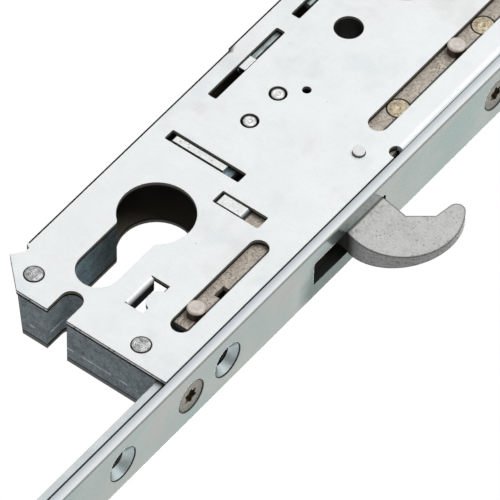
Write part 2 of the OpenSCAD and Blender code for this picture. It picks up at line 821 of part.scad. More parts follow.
module hook() {
    taper = atan((2 * hook_half - tip_t) / (claw_x + claw_r - tip_r - taper_start));
    cut = 2 * claw_sweep;
    color("lightgray") difference() {
        slab(-hook_half, hook_half) translate([pivot_x, pivot_rise]) hook_outline();
        translate([pivot_x + taper_start, hook_half, pivot_rise - claw_sweep]) rotate(-taper) cube(cut);
    }
}

// Hub turned by the handle's square spindle
module follower_hub() {
    color("silver") difference() {
        union() {
            rod(0, spindle_rise, -half_t, half_t, hub_d / 2);
            rod(0, spindle_rise, -inner + move_gap, -lever_half, hub_d / 2 + 1.2);
        }
        slab(-half_t - 1, half_t + 1) translate([0, spindle_rise]) square(spindle_sq, center = true);
    }
}

// Lever on the hub: a fork for the drive pin and an arm for the latch
module hub_lever() {
    fork_half = drive_pin_d / 2 + fork_play(hub_pin_x, hub_rise) + move_gap;
    fork_len = norm([hub_pin_x, hub_rise]) + drive_pin_d / 2;
    fork_turn = fork_angle(hub_pin_x, hub_rise);
    fork_floor = hub_pin_x - drive_pin_d / 2 - 1.5;
    tine = 2.6;
    boss_wall = 3.2;
    color("silver") slab(-lever_half, lever_half) translate([0, spindle_rise]) difference() {
        union() {
            circle(hub_d / 2 + boss_wall);
            rotate(fork_turn) box2d(0, -fork_half - tine, fork_len, fork_half + tine);
            rotate(90 - hub_swing / 2) box2d(0, -latch_nose_r, latch_arm_r, latch_nose_r);
            rotate(90 - hub_swing / 2) translate([latch_arm_r, 0]) circle(latch_nose_r);
        }
        circle(hub_d / 2);
        rotate(fork_turn) box2d(fork_floor, -fork_half, fork_len + 1, fork_half);
    }
}

// Latch bolt: a bevelled head and a recessed shank that takes the tail
module latch_bolt() {
    shank_len = 9.4;
    nose_t = 0.8;
    bevel_angle = 120;
    bolt_tip = backset + latch_throw + 1;
    bolt_end = hub_pin_x - shank_len;
    cut = 2 * (bolt_tip - bolt_end);
    color("silver") difference() {
        slab(-latch_half, latch_half) box2d(bolt_end, latch_floor, bolt_tip, latch_ceiling);
        slab(tail_low, latch_half + 1) box2d(bolt_end - 1, latch_floor - 1, hub_pin_x, latch_ceiling + 1);
        translate([bolt_tip, nose_t - latch_half, latch_floor - 1]) rotate(bevel_angle)
            translate([-cut / 2, -cut, 0]) cube([cut, cut, latch_h + 2]);
    }
}

// Plate on the latch's shank that reaches past the handle tube to a peg beside the hub's arm
module latch_tail() {
    leg_x = tube_r + latch_throw + move_gap;
    leg_w = 4;
    foot_low = latch_peg_z - latch_peg_r;
    foot_high = spindle_rise + handle_screw_rise - tube_r - move_gap;
    color("tan") {
        slab(tail_low, latch_half) union() {
            box2d(leg_x, foot_low, leg_x + leg_w, latch_ceiling - 3);
            box2d(latch_peg_x, foot_low, leg_x + leg_w, foot_high);
            translate([latch_peg_x, latch_peg_z]) circle(latch_peg_r);
        }
        rod(latch_peg_x, latch_peg_z, -lever_half, tail_low, latch_peg_r);
    }
}

// Slide that holds the drive: two lugs stand in the cover's level slots and a nose meets the slide bar
module deadlock_slide() {
    lug_half = deadlock_slot_w / 2 - 0.6;
    cam_lug_half = cam_slot_w / 2 - 0.4;
    nose_x = slide_back_mid - move_gap;
    plate_x = nose_x - deadlock_travel;
    plate_drop = 4;
    plate_rise = 3.4;
    cam_plate_drop = 2.8;
    cam_plate_rise = 5;
    lug_bend = lug_h - slide_gap;
    color("lightgray") {
        slab(slide_low, slide_top) union() {
            round_box2d(lug_back - 0.8, deadlock_z - plate_drop, lug_front + 1.9, deadlock_z + plate_rise, 1);
            round_box2d(lug_front - 2, cam_lug_z - cam_plate_drop, plate_x, cam_lug_z + cam_plate_rise, 1);
            box2d(plate_x - 3, cam_lug_z + 2, plate_x, nose_z + nose_h / 2);
            box2d(plate_x - 1, nose_z - nose_h / 2, nose_x, nose_z + nose_h / 2);
        }
        slab(slide_top, slide_top + lug_h) union() {
            box2d(lug_back, deadlock_z - lug_half, lug_front, deadlock_z + lug_half);
            box2d(cam_lug_back, cam_lug_z - cam_lug_half, plate_x - 0.5, cam_lug_z + cam_lug_half);
        }
        slab(slide_top + slide_gap, slide_top + lug_h)
            box2d(cam_lug_back, cam_lug_z - cam_lug_half, cam_lug_front, cam_lug_z + cam_lug_half);
        translate([cam_lug_front, -slide_top - slide_gap, cam_lug_z - cam_lug_half]) intersection() {
            cylinder(h = 2 * cam_lug_half, r = lug_bend);
            translate([0, -lug_bend, 0]) cube([lug_bend, lug_bend, 2 * cam_lug_half]);
        }
    }
}

// Upright bar along the back of the case, with a lug in each back slot
module changeover_bar() {
    bar_half = 1.9;
    lug_half = back_slot_w / 2 - 0.4;
    waist_len = 8;
    color("lightgray") {
        slab(slide_low, slide_top) difference() {
            round_box2d(back_slot_x - bar_half, changeover_z, back_slot_x + bar_half, spindle_rise + 6, 1);
            box2d(back_slot_x - bar_half - 1, back_slot_high - 2, back_slot_x + bar_half - 1.3,
                back_slot_high - 2 + waist_len);
        }
        slab(slide_top, slide_top + lug_h) for (z = back_lug_levels)
            box2d(back_slot_x - lug_half, z, back_slot_x + lug_half, z + back_lug_len);
    }
}

faceplate();
cover_plate();
base_plate();
back_wall();
lower_block();
upper_block();
case_rivets();
spacer_studs();
hook_pivot();
handle_tube_low();
handle_tube_high();
case_screw_low();
case_screw_mid();
case_screw_top();
slide_bar();
slide_link();
slide_rivets();
lower_drive_pin();
hub_drive_pin();
hook_cam_pin();
lower_rail();
upper_rail();
roller_stud_low();
roller_stud_high();
roller_low();
roller_high();
hook();
follower_hub();
hub_lever();
latch_bolt();
latch_tail();
deadlock_slide();
changeover_bar();
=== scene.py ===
"""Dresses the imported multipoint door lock: metal finishes, peened rivets, studio light and camera."""
import logging
from dataclasses import dataclass
from enum import Enum
from functools import cached_property
from math import radians, tau
from typing import Any, Callable, Dict, List, Sequence, Tuple, Union

import bmesh
import bpy
from mathutils import Matrix, Vector, noise


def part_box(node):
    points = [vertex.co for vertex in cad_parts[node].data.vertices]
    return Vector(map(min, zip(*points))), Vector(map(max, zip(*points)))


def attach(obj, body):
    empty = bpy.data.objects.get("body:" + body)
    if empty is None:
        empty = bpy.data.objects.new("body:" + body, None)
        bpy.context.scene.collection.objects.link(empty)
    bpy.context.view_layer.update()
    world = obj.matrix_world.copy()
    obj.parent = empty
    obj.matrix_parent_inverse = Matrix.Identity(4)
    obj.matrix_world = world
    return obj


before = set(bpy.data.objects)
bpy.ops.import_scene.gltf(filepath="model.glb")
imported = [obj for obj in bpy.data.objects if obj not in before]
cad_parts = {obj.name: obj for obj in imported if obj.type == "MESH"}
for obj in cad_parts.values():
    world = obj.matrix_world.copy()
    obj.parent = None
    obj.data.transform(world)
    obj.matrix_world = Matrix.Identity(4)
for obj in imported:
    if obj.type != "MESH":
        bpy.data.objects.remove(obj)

LOG = logging.getLogger("door_lock")
MM = 0.001
Rgb = Tuple[int, int, int]
Point = Tuple[float, float, float]
Span = Tuple[float, float]
EVEN: Point = (1.0, 1.0, 1.0)
WHITE = (1, 1, 1, 1)
WELD = 0.001 * MM
# Allowance at a border, width of a mark's soft edge, strength of a strong dark mark (mostly painted shade),
# and the clouds' share of noise.
HAIR = 0.1 * MM
FADE = 0.3 * MM
STRONG = 0.8
CLOUDY: Span = (0.34, 0.66)


def linear(shade: Rgb) -> Tuple[float, float, float, float]:
    """Turns an everyday 0 to 255 colour into the renderer's linear colour.

    Args:
        shade: Red, green and blue from 0 to 255.

    Returns:
        Linear red, green, blue and an alpha of one.
    """
    steps = [value / 255 for value in shade]
    parts = [s / 12.92 if s <= 0.04045 else ((s + 0.055) / 1.055) ** 2.4 for s in steps]
    return (parts[0], parts[1], parts[2], 1.0)


def link(name: str, data: bpy.types.ID) -> bpy.types.Object:
    """Puts a new object into the scene.

    Args:
        name: Name of the object.
        data: Its mesh, lamp or camera.

    Returns:
        The object.
    """
    made = bpy.data.objects.new(name, data)
    bpy.context.scene.collection.objects.link(made)
    return made


def joining(operation: str, turned: bool = False) -> Callable[["Wire", "Value"], "Wire"]:
    """Makes a method that joins a wire and another value.

    Args:
        operation: Operation of the Math node.
        turned: Whether the other value comes first.

    Returns:
        The method.
    """
    def method(wire: "Wire", other: "Value") -> "Wire":
        """Joins the two."""
        return wire.math(operation, other, wire) if turned else wire.math(operation, wire, other)
    return method


class Wire:
    """One shader socket that takes part in ordinary arithmetic."""

    def __init__(self, graph: "Graph", socket: bpy.types.NodeSocket) -> None:
        """Keeps the graph that the socket belongs to."""
        self.graph = graph
        self.socket = socket

    def math(self, operation: str, *values: "Value") -> "Wire":
        """Adds a Math node with these inputs in order."""
        return self.graph.add("ShaderNodeMath", {"operation": operation}, dict(enumerate(values)))

    __add__, __radd__ = joining("ADD"), joining("ADD", True)
    __sub__, __rsub__ = joining("SUBTRACT"), joining("SUBTRACT", True)
    __mul__, __rmul__ = joining("MULTIPLY"), joining("MULTIPLY", True)
    __lt__, __gt__ = joining("LESS_THAN"), joining("GREATER_THAN")
    biggest, smallest = joining("MAXIMUM"), joining("MINIMUM")

    def __abs__(self) -> "Wire":
        """Size without sign."""
        return self.math("ABSOLUTE", self)

    def sine(self) -> "Wire":
        """Sine of this in radians."""
        return self.math("SINE", self)

    def hypot(self, other: "Wire") -> "Wire":
        """Length of the diagonal over this and the other."""
        return self.math("SQRT", self * self + other * other)

    def within(self, span: Span) -> "Wire":
        """One where this lies between the two ends of the span."""
        return (self > span[0]) * (self < span[1])

    def ramp(self, low: float, high: float) -> "Wire":
        """Rises smoothly from nought at the low value to one at the high value."""
        inputs = {"Value": self, "From Min": low, "From Max": high}
        return self.graph.add("ShaderNodeMapRange", {"interpolation_type": "SMOOTHSTEP"}, inputs)


Value = Union[Wire, float, Sequence[float]]
Colour = Union[Wire, Rgb]
Coat = Tuple[Value, Colour]


class Graph:
    """The node tree of a material or world, with a single way to add nodes."""

    def __init__(self, owner: Union[bpy.types.Material, bpy.types.World]) -> None:
        """Empties the owner's tree and keeps both.

        Args:
            owner: The material or world.
        """
        owner.use_nodes = True
        self.owner = owner
        self.tree = owner.node_tree
        self.tree.nodes.clear()

    def add(self, kind: str, settings: Dict[str, Any], inputs: Dict[Any, Value], output: Any = 0) -> Wire:
        """Adds a node.

        Args:
            kind: Blender's type name.
            settings: Properties, which are set first.
            inputs: Values or wires by socket name or number.
            output: The output to hand back, by name or number.

        Returns:
            The output as a wire.
        """
        node = self.tree.nodes.new(kind)
        for key, value in settings.items():
            setattr(node, key, value)
        for key, value in inputs.items():
            if isinstance(value, Wire):
                self.tree.links.new(value.socket, node.inputs[key])
            else:
                node.inputs[key].default_value = value
        return Wire(self, node.outputs[output] if node.outputs else None)

    @cached_property
    def place(self) -> Wire:
        """Position on the part, in metres."""
        return self.add("ShaderNodeTexCoord", {}, {}, "Object")

    @cached_property
    def axes(self) -> Tuple[Wire, Wire, Wire]:
        """Position on the part as three separate wires."""
        node = self.add("ShaderNodeSeparateXYZ", {}, {0: self.place}).socket.node
        along, across, up = (Wire(self, output) for output in node.outputs)
        return along, across, up

    def noise(self, size: float, detail: float = 3.0, stretch: Point = EVEN) -> Wire:
        """Soft random pattern.

        Args:
            size: Width of one patch in metres.
            detail: Number of finer layers.
            stretch: Scale along X, Y and Z.

        Returns:
            Values round one half.
        """
        spot = self.add("ShaderNodeMapping", {}, {"Vector": self.place, "Scale": stretch})
        inputs = {"Vector": spot, "Scale": 1 / size, "Detail": detail, "Roughness": 0.6}
        return self.add("ShaderNodeTexNoise", {}, inputs, "Fac")

    def dots(self, spacing: float, radius: float) -> Wire:
        """Scattered specks.

        Args:
            spacing: Mean distance between specks.
            radius: Radius of a speck.

        Returns:
            One inside the specks and nought outside.
        """
        inputs = {"Vector": self.place, "Scale": 1 / spacing}
        cells = self.add("ShaderNodeTexVoronoi", {"feature": "F1"}, inputs, "Distance")
        return 1 - cells.ramp(radius / spacing * 0.5, radius / spacing)

    def nearest(self, side: Wire, spots: Sequence[Span]) -> Wire:
        """Distance from the nearest of several axes.

        Args:
            side: Position along the first direction.
            spots: Place of each axis in that direction, and its height.

        Returns:
            The distance in metres, at most one.
        """
        reach: Value = 1.0
        for place, level in spots:
            reach = (side - place).hypot(self.axes[2] - level).smallest(reach)
        return reach

    def coats(self, base: Colour, *coats: Coat) -> Wire:
        """Lays colours over one another.

        Args:
            base: The lowest colour.
            coats: Mask and colour of each coat, from the lowest up.

        Returns:
            The mixed colour.
        """
        for mask, colour in coats:
            first, second = (tint if isinstance(tint, Wire) else linear(tint) for tint in (base, colour))
            base = self.add("ShaderNodeMix", {"data_type": "RGBA"}, {0: mask, 6: first, 7: second}, 2)
        return base

    def shaded(self, colour: Colour, tone: Wire) -> Wire:
        """Makes a colour lighter or darker.

        Args:
            colour: The colour.
            tone: Brightness round one.

        Returns:
            The two multiplied.
        """
        grey = self.add("ShaderNodeCombineXYZ", {}, {0: tone, 1: tone, 2: tone})
        base = colour if isinstance(colour, Wire) else linear(colour)[:3]
        return self.add("ShaderNodeVectorMath", {"operation": "MULTIPLY"}, {0: grey, 1: base})

    def rounded(self, radius: float) -> Wire:
        """Surface direction with every sharp edge rounded off by that radius."""
        return self.add("ShaderNodeBevel", {"samples": 6}, {"Radius": radius})

    def edges(self, radius: float) -> Wire:
        """Finds the sharp edges.

        Args:
            radius: Width of the strip along an edge.

        Returns:
            One on the strips and nought on the flats.
        """
        flat = self.add("ShaderNodeNewGeometry", {}, {}, "Normal")
        both = {0: self.rounded(radius), 1: flat}
        same = self.add("ShaderNodeVectorMath", {"operation": "DOT_PRODUCT"}, both, "Value")
        return (1 - same).ramp(0.004, 0.12)


@dataclass(frozen=True)
class Layer:
    """Random patches of another colour.

    Attributes:
        shade: Colour of the patches.
        depth: How strongly they show.
        size: Width of a patch.
        span: Values of the noise between which a patch fades in.
        detail: Number of finer layers in the noise.
        stretch: Scale of the noise along X, Y and Z.
        specks: Mean distance and radius of specks, where only specks in the patches are coloured.
    """

    shade: Rgb
    depth: float
    size: float
    span: Span
    detail: float = 3.0
    stretch: Point = EVEN
    specks: Span = (0.0, 0.0)

    def mask(self, graph: Graph) -> Wire:
        """Works out where the layer shows.

        Args:
            graph: The material's graph.

        Returns:
            The mask.
        """
        patches = graph.noise(self.size, self.detail, self.stretch).ramp(*self.span)
        if any(self.specks):
            patches = graph.dots(*self.specks) * patches
        return patches * self.depth


def pits(shade: Rgb, gap: float, radius: float, depth: float = 0.75,
         patch: float = 2.6 * MM) -> Tuple[Layer, ...]:
    """Layer of pits with that mean gap and radius, which gather in patches of that width."""
    return (Layer(shade, depth, patch, (0.4, 0.6), specks=(gap, radius)),)


@dataclass(frozen=True)
class Finish:
    """A metal finish with clouds, grain, fine bumps, edges in their own colour and layers of patches.

    Attributes:
        name: Material name.
        shade: Everyday colour.
        metal: Share of metal.
        rough: Mean roughness.
        cloud: Depth and width of the broad clouds.
        grain: Depth and width of the fine grain.
        bump: Depth of the bumps.
        stretch: Scale of the grain along X, Y and Z.
        edge: Radius of the rounded edges.
        strip: Radius over which the edges are marked, where it is wider than the rounding.
        edge_share: How far the edges take their own colour.
        edge_light_and_wear: Colour of the edges: a painted highlight where pale, painted shade where dark,
            with some wear.
        gloss: Strength of the clear reflection on the bare share.
        layers: Patches of other colours, from the lowest up.
    """

    name: str
    shade: Rgb
    metal: float = 0.4
    rough: float = 0.42
    cloud: Span = (0.06, 9 * MM)
    grain: Span = (0.05, 0.35 * MM)
    bump: float = 0.01 * MM
    stretch: Point = EVEN
    edge: float = 0.18 * MM
    strip: float = 0.0
    edge_share: float = 0.4
    # Near-white edges by default: a painted highlight.
    edge_light_and_wear: Rgb = (240, 242, 242)
    gloss: float = 0.5
    layers: Tuple[Layer, ...] = ()

    @cached_property
    def graph(self) -> Graph:
        """Node tree of the material that this finish fills."""
        return Graph(bpy.data.materials.new(self.name))

    @cached_property
    def grains(self) -> Wire:
        """Fine grain round one half."""
        return self.graph.noise(self.grain[1], 2.0, self.stretch)

    @property
    def tone(self) -> Wire:
        """Broad clouds and fine grain round a brightness of one."""
        clouds = (self.graph.noise(self.cloud[1]).ramp(*CLOUDY) - 0.5) * (2 * self.cloud[0])
        grains = (self.grains.ramp(*CLOUDY) - 0.5) * (2 * self.grain[0])
        return 1 + clouds + grains

    @property
    def marks(self) -> List[Coat]:
        """Mask and colour of each coat over the layers, from the lowest up."""
        return []

    @property
    def colour(self) -> Wire:
        """Base colour over the surface."""
        base = self.graph.shaded(self.shade, self.tone)
        # Edges in their own colour: a painted highlight where it is pale, painted shade where it is dark.
        edge_coat = (self.graph.edges(max(self.edge, self.strip)) * self.edge_share, self.edge_light_and_wear)
        patches = [(layer.mask(self.graph), layer.shade) for layer in self.layers]
        return self.graph.coats(base, edge_coat, *patches, *self.marks)

    @property
    def metalness(self) -> Value:
        """Share of metal over the surface."""
        return self.metal

    @property
    def roughness(self) -> Wire:
        """Roughness over the surface."""
        return self.rough * (0.8 + self.graph.noise(self.cloud[1] * 0.6) * 0.4)

    @property
    def height(self) -> Wire:
        """Height map for the bump, which is the grain."""
        return self.grains

    def material(self) -> bpy.types.Material:
        """Builds the material.

        Returns:
            The material, ready for use.
        """
        lift = {"Height": self.height, "Distance": self.bump, "Strength": 1.0,
                "Normal": self.graph.rounded(self.edge)}
        inputs: Dict[Any, Value] = {
            "Base Color": self.colour,
            "Metallic": self.metalness,
            "Roughness": self.roughness,
            "Specular IOR Level": self.gloss,
            "Normal": self.graph.add("ShaderNodeBump", {}, lift, "Normal"),
        }
        surface = self.graph.add("ShaderNodeBsdfPrincipled", {}, inputs, "BSDF")
        self.graph.add("ShaderNodeOutputMaterial", {}, {"Surface": surface})
        return self.graph.owner


@dataclass(frozen=True)
class PlatedSheet(Finish):
    """Bright zinc on sheet steel, with painted shade on cut edges, inner faces and along some edges, and a
    painted highlight on the bottom edge.

    Attributes:
        inner: Distance of the inner faces from mid-thickness, here called depth.
        outer: Depth at which the cut edges end.
        cut: Colour of the painted highlight on the bottom edge.
        cut_z: Height below which the bottom edge lies.
        shaded_fracture: Colour of the slots' walls and of the bottom edge, painted shade.
        burnished: Colour of those walls where the punch went in.
        burnished_y: Depths between which the walls turn burnished.
        trimmed: Colour of the other outer edges.
        top_z: Height above which the top edge lies.
        bright_y: Depths between which the bottom edge carries the painted highlight.
        inside: Painted shade on the inner faces.
        sheared: Painted shade along the sheared back edge.
        sheared_w: Width of that dark line.
        back_x: Place of the back edge along X, below the step.
        step_z: Height of the step in the back edge.
        step: Depth of the step.
        step_shade: Distances over which the painted shade at the step fades out.
        fold_x: Start of the bent front edge along X.
        fold_z: Lowest and highest point of the bent front edge.
        seam_shade: Painted shade along the faceplate.
        seam_shade_x: Places along X between which that shade sets in.
        lip_x: Ends of the window's lip along X.
        lip_z: Lowest and highest point of the window's lip.
        lip_y: Depths between which the lip turns dark.
        lip_dark: Painted shade on the lip's lower end.
    """

    inner: float = 5.52 * MM
    outer: float = 6.93 * MM
    cut: Rgb = (196, 199, 199)
    cut_z: float = -36.3 * MM
    shaded_fracture: Rgb = (48, 45, 41)
    burnished: Rgb = (142, 139, 131)
    burnished_y: Span = (5.95 * MM, 6.2 * MM)
    trimmed: Rgb = (150, 153, 153)
    top_z: float = 165.9 * MM
    bright_y: Span = (6.1 * MM, 6.65 * MM)
    inside: Rgb = (96, 90, 80)
    sheared: Rgb = (46, 43, 40)
    sheared_w: float = 0.42 * MM
    back_x: float = -17.1 * MM
    step_z: float = 48.2 * MM
    step: float = 0.4 * MM
    step_shade: Span = (0.3 * MM, 1.4 * MM)
    fold_x: float = 30.1 * MM
    fold_z: Span = (49.2 * MM, 110.2 * MM)
    seam_shade: Rgb = (44, 47, 49)
    seam_shade_x: Span = (31.5 * MM, 31.65 * MM)
    lip_x: Span = (10.25 * MM, 11.3 * MM)
    lip_z: Span = (-24.4 * MM, -14.8 * MM)
    lip_y: Span = (5.3 * MM, 6.1 * MM)
    lip_dark: Rgb = (62, 62, 60)

    @cached_property
    def bright(self) -> Wire:
        """Where the cover's bottom edge carries the painted highlight, in dashes."""
        _, across, up = self.graph.axes
        streak = (across * -1.0).within(self.bright_y) * (up < self.cut_z)
        # Painted highlight, broken into dashes by noise.
        return streak * self.graph.noise(1.1 * MM).ramp(0.28, 0.46)

    @cached_property
    def masks(self) -> Tuple[Wire, Wire, Wire]:
        """Where the cut edges, the inner faces and the window's lip lie."""
        along, across, up = self.graph.axes
        depth = abs(across)
        lip = along.within(self.lip_x) * up.within(self.lip_z) * (depth < self.outer)
        flat = (1 - (along > self.fold_x) * up.within(self.fold_z)) * (1 - lip)
        return (depth < self.outer) * flat, (depth < self.inner) * flat, lip * (1 - depth.ramp(*self.lip_y))

    @cached_property
    def torn(self) -> Wire:
        """Colour of the cut edges: painted shade on the walls and a painted highlight in dashes on the
        bottom edge.
        """
        along, across, up = self.graph.axes
        rim = across.within((self.inner + 0.25 * MM, self.outer))
        outer = (along < self.back_x + 0.03 * MM).biggest(up > self.top_z).biggest((up < self.cut_z) * rim)
        punched = abs(across).ramp(*self.burnished_y) * (up > self.cut_z)
        shade = self.graph.coats(self.shaded_fracture, (punched, self.burnished), (outer, self.trimmed),
                                 (self.bright, self.cut))
        return self.graph.shaded(shade, 0.7 + self.graph.noise(0.6 * MM) * 0.6)

    @property
    def marks(self) -> List[Coat]:
        """Painted shade at the step, along the back edge and the faceplate, on cut edges, inner faces and
        the lip.
        """
        along, across, up = self.graph.axes
        rear = self.back_x + self.sheared_w - (up > self.step_z) * self.step
        step_shade = 1 - (abs(up - self.step_z) * 0.45 + (along - self.back_x)).ramp(*self.step_shade)
        cut, hidden, lip = self.masks
        return [
            # Painted shade where the back edge steps.
            (step_shade * STRONG, self.sheared),
            # Painted shade along the back edge: a dark outline.
            ((along < rear) * (up > self.lip_z[0]), self.sheared),
            # Painted shade in the gap along the faceplate.
            (along.ramp(*self.seam_shade_x) * (across < 0), self.seam_shade),
            # Cut edges: painted shade, with a painted highlight along the bottom edge.
            (cut, self.torn),
            # Painted shade on the faces inside the case.
            (hidden, self.inside),
            # Painted shade on the lower end of the window's lip.
            (lip, self.lip_dark),
        ]

    @property
    def metalness(self) -> Wire:
        """Metal on the outer faces and the bright edge alone."""
        cut, _, lip = self.masks
        return (1 - cut.biggest(lip)) * self.metal + self.bright * cut


@dataclass(frozen=True)
class LinedWall(Finish):
    """Plated wall with painted shade on its faces inside the case.

    Attributes:
        outer_x: Place along X up to which the wall is plated.
        inside: Painted shade on the faces inside the case.
    """

    outer_x: float = -17.0 * MM
    inside: Rgb = (96, 90, 80)

    @property
    def marks(self) -> List[Coat]:
        """Painted shade on the faces inside the case."""
        return [(self.graph.axes[0] > self.outer_x, self.inside)]

    @property
    def metalness(self) -> Wire:
        """Metal on the outside alone."""
        return (self.graph.axes[0] < self.outer_x) * self.metal


@dataclass(frozen=True)
class DrilledFace(Finish):
    """Zinc-plated faceplate with a painted highlight on its outer edge, painted shade in its slots and
    holes, countersinks and a painted reflection of the hook.

    Attributes:
        front: Distance of the front face along X.
        back: Distance of the back face along X.
        neck: Distance of the countersinks' narrow ends along X.
        side: Distance of the outer edge's flats from the middle line.
        half: Half the faceplate's width, which is also the radius of its ends.
        ends: Heights of the lower and the upper end.
        open_sinks: Heights of the empty countersinks.
        filled_sinks: Heights of those that hold a screw.
        sink_r: Radius that counts as countersink.
        shaded: Colour of the outer edge next to the case, the darker end of its painted light.
        bright: Painted highlight on the outer edge next to the front.
        corner: Colour of the corner between that edge and the front.
        cone: Colour of the empty countersinks.
        streaks: How closely the cutter's streaks lie in them.
        wander: How far the streaks stray.
        wall: Colour of the slots' walls, painted shade.
        dull: Share of metal on the slots' walls and the outer edge.
        sheared: Roughness of the outer edge.
        dark: Painted shade in the holes and in the gap round a screw.
        dark_coat: Colour of the painted reflection of the hook on the face below it.
        reflection_y: Middle of the reflection across the thickness.
        reflection_z: Lower end of the reflection's middle line.
        reflection_h: Height of the reflection's middle line.
        reflection_lean: How far the middle line leans across for each step up.
        reflection_r: Distances over which the reflection fades out.
        reflection_stretch: How much faster the reflection fades out across than along.
    """

    front: float = 35 * MM
    back: float = 32.5 * MM
    neck: float = 32.85 * MM
    side: float = 7.75 * MM
    half: float = 8 * MM
    ends: Span = (-131.6 * MM, 261 * MM)
    open_sinks: Tuple[float, ...] = ()
    filled_sinks: Tuple[float, ...] = ()
    sink_r: float = 4.75 * MM
    shaded: Rgb = (196, 203, 208)
    bright: Rgb = (238, 242, 244)
    corner: Rgb = (140, 142, 138)
    cone: Rgb = (192, 204, 206)
    streaks: float = 4.5
    wander: float = 5.0
    wall: Rgb = (54, 59, 57)
    dull: float = 0.22
    sheared: float = 0.55
    dark: Rgb = (38, 38, 36)
    dark_coat: Rgb = (110, 126, 122)
    reflection_y: float = 6 * MM
    reflection_z: float = 17 * MM
    reflection_h: float = 4.5 * MM
    reflection_lean: float = 0.5
    reflection_r: Span = (5.175 * MM, 11.5 * MM)
    reflection_stretch: float = 0.8

    @cached_property
    def width(self) -> Wire:
        """Distance from the middle line, or from the middle of the arc at each end."""
        _, across, up = self.graph.axes
        low, high = self.ends
        past = (low + self.half - up).biggest(up - (high - self.half)).biggest(0.0)
        return across.hypot(past)

    @cached_property
    def recess(self) -> Wire:
        """Walls between the front and the back, apart from the outer edge."""
        walls = self.graph.axes[0].within((self.back + 0.02 * MM, self.front - 0.06 * MM))
        return walls * (self.width < self.side)

    def near(self, levels: Tuple[float, ...]) -> Wire:
        """Distance from the nearest of the countersinks' axes."""
        return self.graph.nearest(self.graph.axes[1], [(0.0, level) for level in levels])

    def chatter(self, reach: Wire) -> Wire:
        """Streaks that the cutter left down the empty countersinks.

        Args:
            reach: Distance from the nearest countersink's axis.

        Returns:
            Waves round nought.
        """
        up = self.graph.axes[2]
        rise: Value = 0.0
        for level in self.open_sinks:
            rise = rise + (up - level) * (abs(up - level) < self.sink_r)
        turn = reach.math("DIVIDE", rise, reach)
        return (turn * self.streaks + self.graph.noise(6 * MM) * self.wander).sine()

    @cached_property
    def hook_reflection(self) -> Wire:
        """Where the painted reflection of the hook lies."""
        _, across, up = self.graph.axes
        rise = (up - self.reflection_z).biggest(0.0).smallest(self.reflection_h)
        spread = (across - self.reflection_y + rise * self.reflection_lean) * self.reflection_stretch
        reach = spread.hypot(up - self.reflection_z - rise)
        return 1 - (reach + (self.graph.noise(3 * MM) - 0.5) * (3 * MM)).ramp(*self.reflection_r)

    @property
    def marks(self) -> List[Coat]:
        """The painted reflection of the hook, painted light on the outer edge, painted shade in slots and
        holes, and each countersink.
        """
        along = self.graph.axes[0]
        # The outer edge is painted lighter than the front, rising to a painted highlight near the front.
        strip = self.graph.coats(self.shaded, (along.ramp(self.back, self.front - 0.5 * MM), self.bright))
        corner = (along > self.front - 0.36 * MM) * (self.width > self.side - HAIR)
        recess = self.recess
        empty = self.near(self.open_sinks)
        sunk = empty < self.sink_r
        brushed = self.graph.shaded(self.cone, 0.84 + self.chatter(empty) * 0.3)
        rim = empty.within((self.sink_r - 0.4 * MM, self.sink_r)).biggest((along < self.neck) * sunk)
        filled = self.near(self.filled_sinks) < self.sink_r
        return [
            # Painted reflection of the hook on the face below it.
            (self.hook_reflection, self.dark_coat),
            (self.width > self.side, strip),
            (corner * STRONG, self.corner),
            # Painted shade on the walls, round the countersinks' rims, down the holes and round the screws.
            (recess, self.wall),
            (recess * sunk, brushed),
            (recess * rim, self.dark),
            (recess * filled, self.dark),
        ]

    @property
    def metalness(self) -> Wire:
        """Less metal in the slots behind the front face and on the outer edge."""
        cones = self.near(self.open_sinks) < self.sink_r
        dull = (self.recess * (1 - cones)).biggest(self.width > self.side)
        return self.metal - dull * (self.metal - self.dull)

    @property
    def roughness(self) -> Wire:
        """Roughness over the surface, greater on the sheared outer edge."""
        return super().roughness.biggest((self.width > self.side) * self.sheared)


class Axis(Enum):
    """Axis that a turned piece was spun on."""

    OUT = 0
    THROUGH = 1


@dataclass(frozen=True)
class TurnedEnd(Finish):
    """Pin, stud or screw ends with fine turning rings over sides darkened with painted shade.

    Attributes:
        centres: Place of each axis across it, and its height.
        axis: Direction of the axes.
        pitch: Distance between rings.
        depth: Contrast of the rings.
        end: Place of the bright end along the axis, counted outwards.
        rim: Depth of the bright end.
        flank: Colour of the sides below the end, painted shade.
    """

    centres: Tuple[Span, ...] = ()
    axis: Axis = Axis.THROUGH
    pitch: float = 0.5 * MM
    depth: float = 0.12
    end: float = 7.0 * MM
    rim: float = 0.4 * MM
    flank: Rgb = (110, 108, 106)

    @cached_property
    def near(self) -> Wire:
        """Distance from the nearest axis."""
        along, across, _ = self.graph.axes
        return self.graph.nearest(across if self.axis is Axis.OUT else along, self.centres)

    @cached_property
    def rings(self) -> Wire:
        """Waves round the nearest axis."""
        return (self.near * (tau / self.pitch)).sine()

    @property
    def tone(self) -> Wire:
        """Clouds and grain with faint rings."""
        return super().tone + self.rings * self.depth

    @property
    def marks(self) -> List[Coat]:
        """Painted shade on the sides below the bright end."""
        along, across, _ = self.graph.axes
        out = along if self.axis is Axis.OUT else across * -1.0
        below = 1 - out.ramp(self.end - self.rim - HAIR, self.end - self.rim)
        return [(below, self.flank)]

    @property
    def height(self) -> Wire:
        """Rings over the grain."""
        return self.rings * 0.4 + self.graph.noise(self.grain[1])


